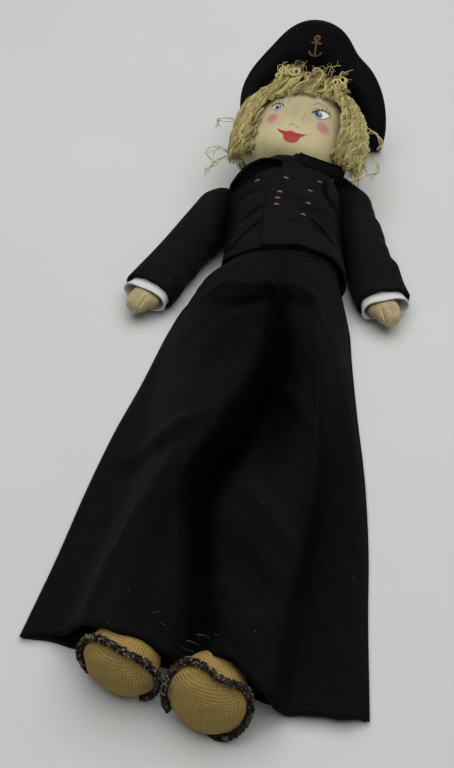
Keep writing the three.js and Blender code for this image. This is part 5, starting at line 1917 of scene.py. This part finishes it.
@dataclass
class Head:
    """The stuffed head with its painted face, mohair curls and soft wool cap."""

    finishes: Finishes
    frame: Frame
    half_width: float = 35.5
    front_depth: float = 29.0
    back_depth: float = 28.0
    length: float = 80.0
    fullness: float = 2.5
    jaw_fullness: float = 3.5
    jaw_reach: float = 48.0
    band_base: float = 57.0
    band_depth: float = 15.0
    rim_rise: float = 9.0
    rim_radius: float = 63.8
    rim_sag: float = 13.4
    rim_lengthening: float = 10.7
    rim_lobes: float = 2.3
    rim_shift: float = 1.5
    rim_roll: float = 4.0
    roll_tuck: float = 0.4  # share of the roll by which the rim's seam is tucked in
    roll_share: float = 0.14  # share of the top's cloth that the roll takes
    crown_dome: float = 8.0

    def share(self, height: Points) -> Points:
        """Share of the head's girth at a height above its pivot."""
        half = self.length / 2
        full = np.where(height < half, self.jaw_fullness, self.fullness)
        reach = np.where(height < half, self.jaw_reach, half)
        return np.maximum(0, 1 - np.abs((height - half) / reach) ** full) ** (1 / full)

    def skin(self, turn: Points, height: Points, grow: Points | float) -> Points:
        """Places on the head, or on hair round it. Turn 0 is the front, a quarter turn the doll's left."""
        return self.around(turn, height, self.share(height), grow)

    def around(self, turn: Points, height: Points, share: Points | float, grow: Points | float) -> Points:
        """Places round the head's axis at a share of its full girth."""
        depth = np.where(np.cos(turn) > 0, self.front_depth, self.back_depth)
        x = (self.half_width * share + grow) * np.sin(turn)
        z = (depth * share + grow) * np.cos(turn)
        return np.stack([x, height + 0 * x, z], -1)

    def settle(self, local: Points, clear: float = TABLE_CLEARANCE) -> Points:
        """Carries places to the row frame, kept above the table."""
        return above(self.frame.place(local), clear)

    def face(self) -> None:
        """The head, with its face painted in the order that a painter lays the marks."""

        def shape(turn: Points, share: Points) -> Points:
            front = turn - 0.5 * np.sin(turn)
            chin, crown = self.length / 2 - self.jaw_reach + 0.4, self.length - 0.4
            local = self.skin(front, mix(chin, crown, from_pole(share)), 0.0)
            return local + 0.25 * (local / 30) * ripple(local, 22, 101)[:, None]

        mesh = stuffed("head", 300, 210, shape)
        local = read(mesh)
        colour = np.tile(linear(SKIN_TONE), (len(local), 1))
        painted = local[:, 2] > 0
        for mark in FACE_MARKS:
            cover = np.where(painted, mark.cover(local[:, :2]), 0)[:, None]
            colour = mix(colour, np.array(linear(mark.colour)), cover)
        set_attribute(mesh, "Paint", colour)
        write(mesh, self.settle(local))
        upholster(mesh, self.finishes.skin, "head")

    def lock(self, dice: np.random.Generator, path: Points, strands: int, spread: float, curl: float) -> list[Strand]:
        """A lock of mohair: a flat ribbon of strands that wave together along a path.

        Args:
            dice: Source of chance.
            path: The lock's own line in the head's frame.
            strands: How many strands it has.
            spread: How far they lie apart.
            curl: Height of its waves.

        Returns:
            The strands, in the row frame.
        """
        along = np.linspace(0, 1, len(path))
        run = np.gradient(path, axis=0)
        run /= np.linalg.norm(run, axis=1)[:, None] + 1e-9
        out = path * (1, 0, 1)
        out /= np.linalg.norm(out, axis=1)[:, None] + 1e-9
        side = np.cross(run, out)
        length = np.linalg.norm(np.diff(path, axis=0), axis=1).sum()
        turns = length / dice.uniform(10.5, 13.5)
        phase = dice.normal() * 0.9
        tone = dice.uniform(0.05, 1.0)
        made = []
        for _ in range(strands):
            across, deep = dice.normal(size=2) * spread
            wave = 2 * math.pi * turns * along + phase + dice.normal() * 0.14
            size = curl * dice.uniform(0.85, 1.15) * smooth(0.0, 0.25, along) * (0.75 + 0.6 * along)
            fan = 0.5 + 0.8 * along
            points = path + side * (across * fan + size * np.sin(wave))[:, None]
            points = points + out * (0.6 * deep * fan + 0.4 * size * np.cos(wave))[:, None]
            radius = dice.uniform(0.14, 0.23) * (1 - 0.4 * along**2)
            made.append(Strand(self.settle(points, 0.5), radius, float(np.clip(tone + dice.normal() * 0.12, 0, 1))))
        return made

    def fall(self, dice: np.random.Generator, turn: float, root: float, tip: float, body: float) -> Points:
        """The line of a lock that falls from under the cap along the head."""
        along = np.linspace(0, 1, LOCK_STEPS + 1)
        height = mix(root, tip, along)
        sway = turn + dice.uniform(-0.14, 0.14) * along
        grow = 1.0 + body * np.sin(math.pi * np.minimum(along * 0.72, 1)) ** 0.8
        low = np.clip((8 - height) / 14, 0, 1)
        path = self.skin(sway, np.maximum(height, 6.0), grow)
        path[:, 1] = height
        path[:, :] += np.stack([np.sin(sway) * low * 3, 0 * low, np.cos(sway) * low * 2], -1)
        return path

    def wig(self, name: str, turns: tuple[float, float], heights: tuple[float, float]) -> MeshObject:
        """The sewn mohair base under the locks.

        Args:
            name: Its name.
            turns: From where to where it goes round the head.
            heights: From where to where it goes up the head.

        Returns:
            The base.
        """

        def shape(u: Points, v: Points) -> Points:
            local = self.skin(mix(*turns, u), mix(*heights, v), 1.1)
            local += (local / 35) * (0.9 * ripple(local, 5, 111))[:, None]
            return self.settle(local, 0.4)

        mesh = cut_sheet(name, 60, 48, shape)
        thicken(mesh, WIG_THICKNESS)
        set_attribute(mesh, "Tone", 0.35 + 0.2 * ripple(read(mesh), 3, 113))
        set_attribute(mesh, "Run", np.full(len(mesh.data.vertices), 0.2))
        return mesh

    def hair(self) -> None:
        """Wavy side hair, back hair and a curly fringe."""
        dice = np.random.default_rng(7)
        back = math.pi - 0.85
        plans = (
            ("hair_right", SIDE_LOCKS[Side.RIGHT], (-2.35, -1.25), 20, (-2.4, -0.9), 6.0),
            ("hair_left", SIDE_LOCKS[Side.LEFT], (1.25, 2.35), 20, (1.12, 2.4), 6.0),
            ("hair_back", None, (back, 2 * math.pi - back), 30, (2.25, 2 * math.pi - 2.25), 4.0),
        )
        for name, edges, turns, falls, base_turns, body in plans:
            strands: list[Strand] = []
            for k in range(SIDE_LOCK_COUNT if edges else 0):
                share = ((k + dice.random()) / SIDE_LOCK_COUNT) ** 0.85
                knots = mix(np.array(edges[0]), np.array(edges[1]), share)
                knots = knots + dice.normal(size=(5, 3)) * (0.9, 1.6, 1.1)
                knots[:, 2] += 3.0 * math.sin(math.pi * share)
                end = dice.uniform(0.82, 1.06)
                knots[-1] = mix(knots[-2], knots[-1], end)
                strands += self.lock(dice, curve(knots, LOCK_STEPS), LOCK_STRANDS, 0.7, dice.uniform(1.3, 2.6))
            for k in range(falls):
                turn = mix(*turns, (k + dice.random()) / falls)
                root, tip = dice.uniform(38, 57), dice.uniform(-2.0, 8.0)
                path = self.fall(dice, turn, root, tip, body * dice.uniform(0.4, 1.0))
                strands += self.lock(dice, path, LOCK_STRANDS, 0.9, dice.uniform(1.2, 2.2))
            for points in STRAYS.get(name, ()):
                for _ in range(STRAY_LOCKS):
                    knots = np.array(points) + dice.normal(size=(4, 3)) * (1.5, 2.5, 1.0)
                    strands += self.lock(dice, curve(knots, LOCK_STEPS), 3, 0.4, dice.uniform(0.6, 1.8))
            self.finish_hair(name, strands, self.wig(f"{name}_base", base_turns, (6, 58)))
        self.fringe(dice)

    def fringe(self, dice: np.random.Generator) -> None:
        """The fringe: locks swept from the middle of the forehead to the temples, with ringlets over the band."""
        low, high = np.array(HAIRLINE), np.array(FRINGE_TOP)
        strands: list[Strand] = []
        for k in range(FRINGE_LOCKS):
            place = (k + dice.random()) / FRINGE_LOCKS
            sweep = 0.5 * (place - 0.5) + dice.normal() * 0.05
            top = through(high, np.array([place]))[0] + dice.normal(size=3) * (1.0, 1.6, 0.8)
            end = through(low, np.array([np.clip(place + sweep, 0, 1)]))[0] + dice.normal(size=3) * (0.8, 1.3, 0.5)
            middle = (top + end) / 2 + np.array([dice.normal(), 0, dice.uniform(0.3, 2.2)])
            hook = end + np.array([dice.uniform(-3, 3), dice.uniform(-1.5, 2.5), 1.0])
            strands += self.lock(dice, curve([top, middle, end, hook], LOCK_STEPS), 8, 0.9, dice.uniform(0.7, 2.2))
        for _ in range(RINGLETS):
            heart = through(high, np.array([dice.random()]))[0]
            heart = heart + np.array([0, dice.uniform(-3, 5), dice.uniform(0.5, 3)])
            turns = np.linspace(0, dice.uniform(1.1, 1.7) * 2 * math.pi, LOCK_STEPS + 1) + dice.uniform(0, 6)
            wide = dice.uniform(1.6, 3.0) * np.linspace(1.1, 0.8, LOCK_STEPS + 1)
            drift = np.linspace(-1, 1, LOCK_STEPS + 1) * dice.uniform(-3, 3)
            loop = np.stack([wide * np.cos(turns) + drift, wide * np.sin(turns), 0.4 * wide * np.sin(turns)], -1)
            strands += self.lock(dice, heart + loop, 9, 0.45, 0.0)
        for _ in range(WISPS):
            root = through(high, np.array([dice.random()]))[0]
            tip = root + np.array([dice.uniform(-7, 7), dice.uniform(4, 13), dice.uniform(1, 5)])
            bend = (root + tip) / 2 + np.array([dice.uniform(-4, 4), dice.uniform(-2, 3), 3.0])
            path = curve([root, bend, tip, tip + dice.normal(size=3) * 2.5], LOCK_STEPS)
            strands += self.lock(dice, path, 1, 0.3, dice.uniform(0.3, 1.2))
        self.finish_hair("hair_fringe", strands, self.wig("hair_fringe_base", (-0.8, 0.95), (52, 58)))

    def finish_hair(self, name: str, strands: list[Strand], base: MeshObject) -> None:
        """Joins the locks with their base; side hair is baked in place, the rest hangs on the head."""
        mesh = combine(name, [lay_strands(name, strands), base])
        piece = Piece(mesh, self.finishes.hair).dress()
        if name in STRAYS:  # the ends of side hair lie on the shoulders
            piece.bend("head", "trunk", np.array(HANGS_FROM), np.array(LIES_AT))
        else:
            piece.ride("head")

    def rim(self, turn: Points) -> Points:
        """Distance of the cap's rim from the head's axis: full at its peak, dented on the doll's left."""
        lobes = self.rim_lengthening * np.cos(2 * turn) + self.rim_lobes * np.cos(4 * turn)
        lean = self.rim_shift * np.sin(turn) - self.rim_sag * np.cos(turn)
        either_way = np.mod(turn + math.pi, 2 * math.pi) - math.pi
        dent = -4.0 * hump(turn, 0.62, 0.24) - 2.5 * hump(either_way, -0.55, 0.4)
        return self.rim_radius + lobes + lean + dent

    def droop(self, turn: Points) -> Points:
        """How far the rim sinks towards the shoulder on the doll's left."""
        return -9.0 * hump(np.mod(turn, 2 * math.pi), 1.75, 0.4)

    def band_point(self, turn: Points, height: Points, grow: Points | float) -> Points:
        """Places on the cap's band, which keeps the head's girth where it begins."""
        return self.around(turn, height, self.share(np.array([self.band_base]))[0], grow)

    def cap_under(self, turn: Points, share: Points) -> Points:
        """Places on the cap's underside from the band to the rim, puffed towards the face."""
        inner = self.band_point(turn, np.full_like(turn, self.band_base + self.band_depth), 2.6)
        rim = self.rim(turn) - self.rim_roll * self.roll_tuck
        height = self.band_base + self.band_depth + self.rim_rise + self.droop(turn)
        outer = np.stack([rim * np.sin(turn), height, rim * np.cos(turn)], -1)
        local = mix(inner, outer, share[:, None])
        local[:, 1] -= 3.6 * np.sin(math.pi * share) ** 1.2
        local[:, 1] += 1.0 * ripple(local, 34, 121) * np.sin(math.pi * np.clip(share, 0, 1))
        return local

    def cap(self) -> None:
        """The cap: band, puffed underside and domed top, sewn together at the rim."""
        top = self.band_base + self.band_depth

        def band(u: Points, v: Points) -> Points:
            local = self.band_point(2 * math.pi * u, mix(self.band_base, top + 0.5, v), 2.8)
            local += (local * (1, 0, 1) / 34) * (0.5 * ripple(local, 20, 123))[:, None]
            return self.settle(local)

        def under(u: Points, v: Points) -> Points:
            return self.settle(self.cap_under(2 * math.pi * u, v), TABLE_CLEARANCE + WOOL_THICKNESS)

        def dome(u: Points, v: Points) -> Points:
            turn = 2 * math.pi * u
            rim = self.rim(turn)
            rolled = v < self.roll_share
            inward = np.clip((v - self.roll_share) / (1 - self.roll_share), 0, 1)
            roll = np.clip(v / self.roll_share, 0, 1) * math.pi
            edge = rim - self.rim_roll * self.roll_tuck * np.cos(roll) ** 2
            radius = np.where(rolled, edge, rim * (1 - inward**1.35))
            base = top + self.rim_rise + self.droop(turn) * (1 - inward) ** 2
            crown = self.rim_roll + self.crown_dome * np.sin(inward * math.pi / 2)
            lift = np.where(rolled, self.rim_roll * (1 - np.cos(roll)) / 2, crown)
            local = np.stack([radius * np.sin(turn), base + lift, radius * np.cos(turn)], -1)
            local[:, 1] += 1.2 * ripple(local, 40, 127) * inward * (1 - inward) * 4
            return self.settle(local, TABLE_CLEARANCE + WOOL_THICKNESS)

        plans = (("cap_band", 120, 14, band, (0.205, 0.0165)), ("cap_underside", 150, 40, under, (0.4, 0.042)),
                 ("cap_top", 150, 60, dome, (0.13, 0.12)))
        for name, columns, rows, shape, flat in plans:
            mesh = cut_sheet(name, columns, rows, shape)
            thicken(mesh, WOOL_THICKNESS)
            Piece(mesh, self.finishes.wool).dress().ride("head")

    def anchor(self) -> None:
        """A plain embroidered anchor near the cap's peak, laid in bronze thread."""
        dice = np.random.default_rng(5)
        half, stock, arm, ring = 5.5, 3.2, 4.2, 1.5
        from_axis, band_edge, brim = 49.0, 30, 34
        strokes = [
            [(0.0, -half), (0.0, 0.0), (0.0, half)],
            [(-stock, half - 1.6), (0.0, half - 1.4), (stock, half - 1.6)],
            [(-arm, -half + 3.4), (-arm * 0.75, -half + 1.0), (0.0, -half), (arm * 0.75, -half + 1.0),
             (arm, -half + 3.4)],
            [(ring * math.cos(t), half + ring + ring * math.sin(t)) for t in np.linspace(-1.57, 4.71, 9)],
        ]
        strands = []
        for stroke in strokes:
            path = curve(stroke, 12)
            for k in range(3):
                wobble = dice.normal(size=path.shape) * 0.08 + (k - 1) * 0.38
                spots = path + wobble
                share = np.clip((from_axis + spots[:, 1] - band_edge) / brim, 0, 1)
                local = self.cap_under(0.03 + spots[:, 0] / from_axis, share)
                local[:, 1] -= 0.5
                strands.append(Strand(self.settle(local), np.full(len(path), 0.33), 0.3 + 0.6 * dice.random()))
        mesh = lay_strands("cap_anchor", strands)
        Piece(mesh, self.finishes.bronze).dress().ride("head")

    def build(self) -> None:
        """Builds the head, its hair and its cap."""
        self.face()
        self.hair()
        self.cap()
        self.anchor()


@dataclass
class Studio:
    """The table, the light and the camera."""

    finishes: Finishes
    camera_place: Place = (-0.0112, -0.514, 0.470)
    camera_tilt: float = 40.0
    camera_turn: float = 3.0
    lens: float = 46.875
    sensor: float = 36.0
    board: float = 6.0
    lamp_place: Place = (0.1, 0.15, 1.5)
    lamp_power: float = 31.0
    lamp_size: float = 2.0
    aim: Place = (0.0, -0.08, 0.0)
    room: str = "#f4f5f7"
    room_strength: float = 0.16

    def table(self) -> None:
        """A wide pale board."""
        deselect()
        bpy.ops.mesh.primitive_plane_add(size=self.board)
        board = bpy.context.object
        board.name = "table"
        board.data.materials.append(self.finishes.table.material)

    def lamp(self) -> None:
        """A square soft light overhead, aimed at the doll."""
        deselect()
        bpy.ops.object.light_add(type="AREA", location=self.lamp_place)
        light = bpy.context.object
        light.name = "overhead_light"
        light.data.energy = self.lamp_power
        light.data.size = self.lamp_size
        aim = np.array(self.aim) - np.array(self.lamp_place)
        tilt = math.atan2(math.hypot(aim[0], aim[1]), -aim[2])
        light.rotation_euler = (tilt, 0.0, math.atan2(-aim[0], aim[1]))

    def build(self) -> None:
        """Sets the stage."""
        self.table()
        self.lamp()
        world = bpy.data.worlds.new("studio")
        world.use_nodes = True
        background = world.node_tree.nodes["Background"]
        background.inputs["Color"].default_value = linear(self.room)
        background.inputs["Strength"].default_value = self.room_strength
        bpy.context.scene.world = world
        deselect()
        bpy.ops.object.camera_add(location=self.camera_place)
        camera = bpy.context.object
        camera.rotation_euler = (math.radians(self.camera_tilt), 0.0, math.radians(self.camera_turn))
        camera.data.sensor_width = self.sensor
        camera.data.lens = self.lens
        bpy.context.scene.camera = camera
        bpy.context.scene.view_settings.view_transform = "Standard"


def pivots(joints: Iterable[dict[str, Any]]) -> dict[str, Place]:
    """Each joint's pivot in millimetres, by its name."""
    return {joint["name"]: tuple(1 / MM * value for value in joint["pos_m"]) for joint in joints}


def main() -> None:
    """Builds the doll over its frame."""
    logging.basicConfig(level=logging.INFO, format="%(name)s %(message)s")
    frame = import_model()
    pivot = pivots(frame["joints"])
    finishes = Finishes()
    Studio(finishes).build()
    Trunk(finishes).build()
    TrouserLeg(finishes, Side.LEFT, LEFT_LINES, LEFT_FOLDS, hollows=LEFT_LEG_SHADE).build()
    TrouserLeg(finishes, Side.RIGHT, RIGHT_LINES, RIGHT_FOLDS, hollows=RIGHT_LEG_SHADE).build()
    left_waves = (0.5, -0.8, 2.0, 1.8)
    Leg(finishes, Side.LEFT, 18.6, 278.8, -3.2, -20.0, 6.0, fringe_middle=-116.0, fringe_waves=left_waves).build()
    Leg(finishes, Side.RIGHT, -26.0, 272.6, -10.0, -3.7, -6.0, fringe_waves=(0.2, -0.1, 0.8, 0.9)).build()
    Jacket(finishes).build()
    left_ridge = Fold(((43.6, 21.6), (48.6, 3.7), (50.9, -13.8), (55.6, -37.8)), 1.6, 4.0)
    Arm(finishes, Side.LEFT, pivot["shoulder_left"], 13.8, 19.0, slope=13.0, ridge=left_ridge).build()
    Arm(finishes, Side.RIGHT, pivot["shoulder_right"], 29.0, 15.0).build()
    Head(finishes, Frame(pivot["head_turn"], turn=-13.0)).build()


if __name__ == "__main__":
    main()
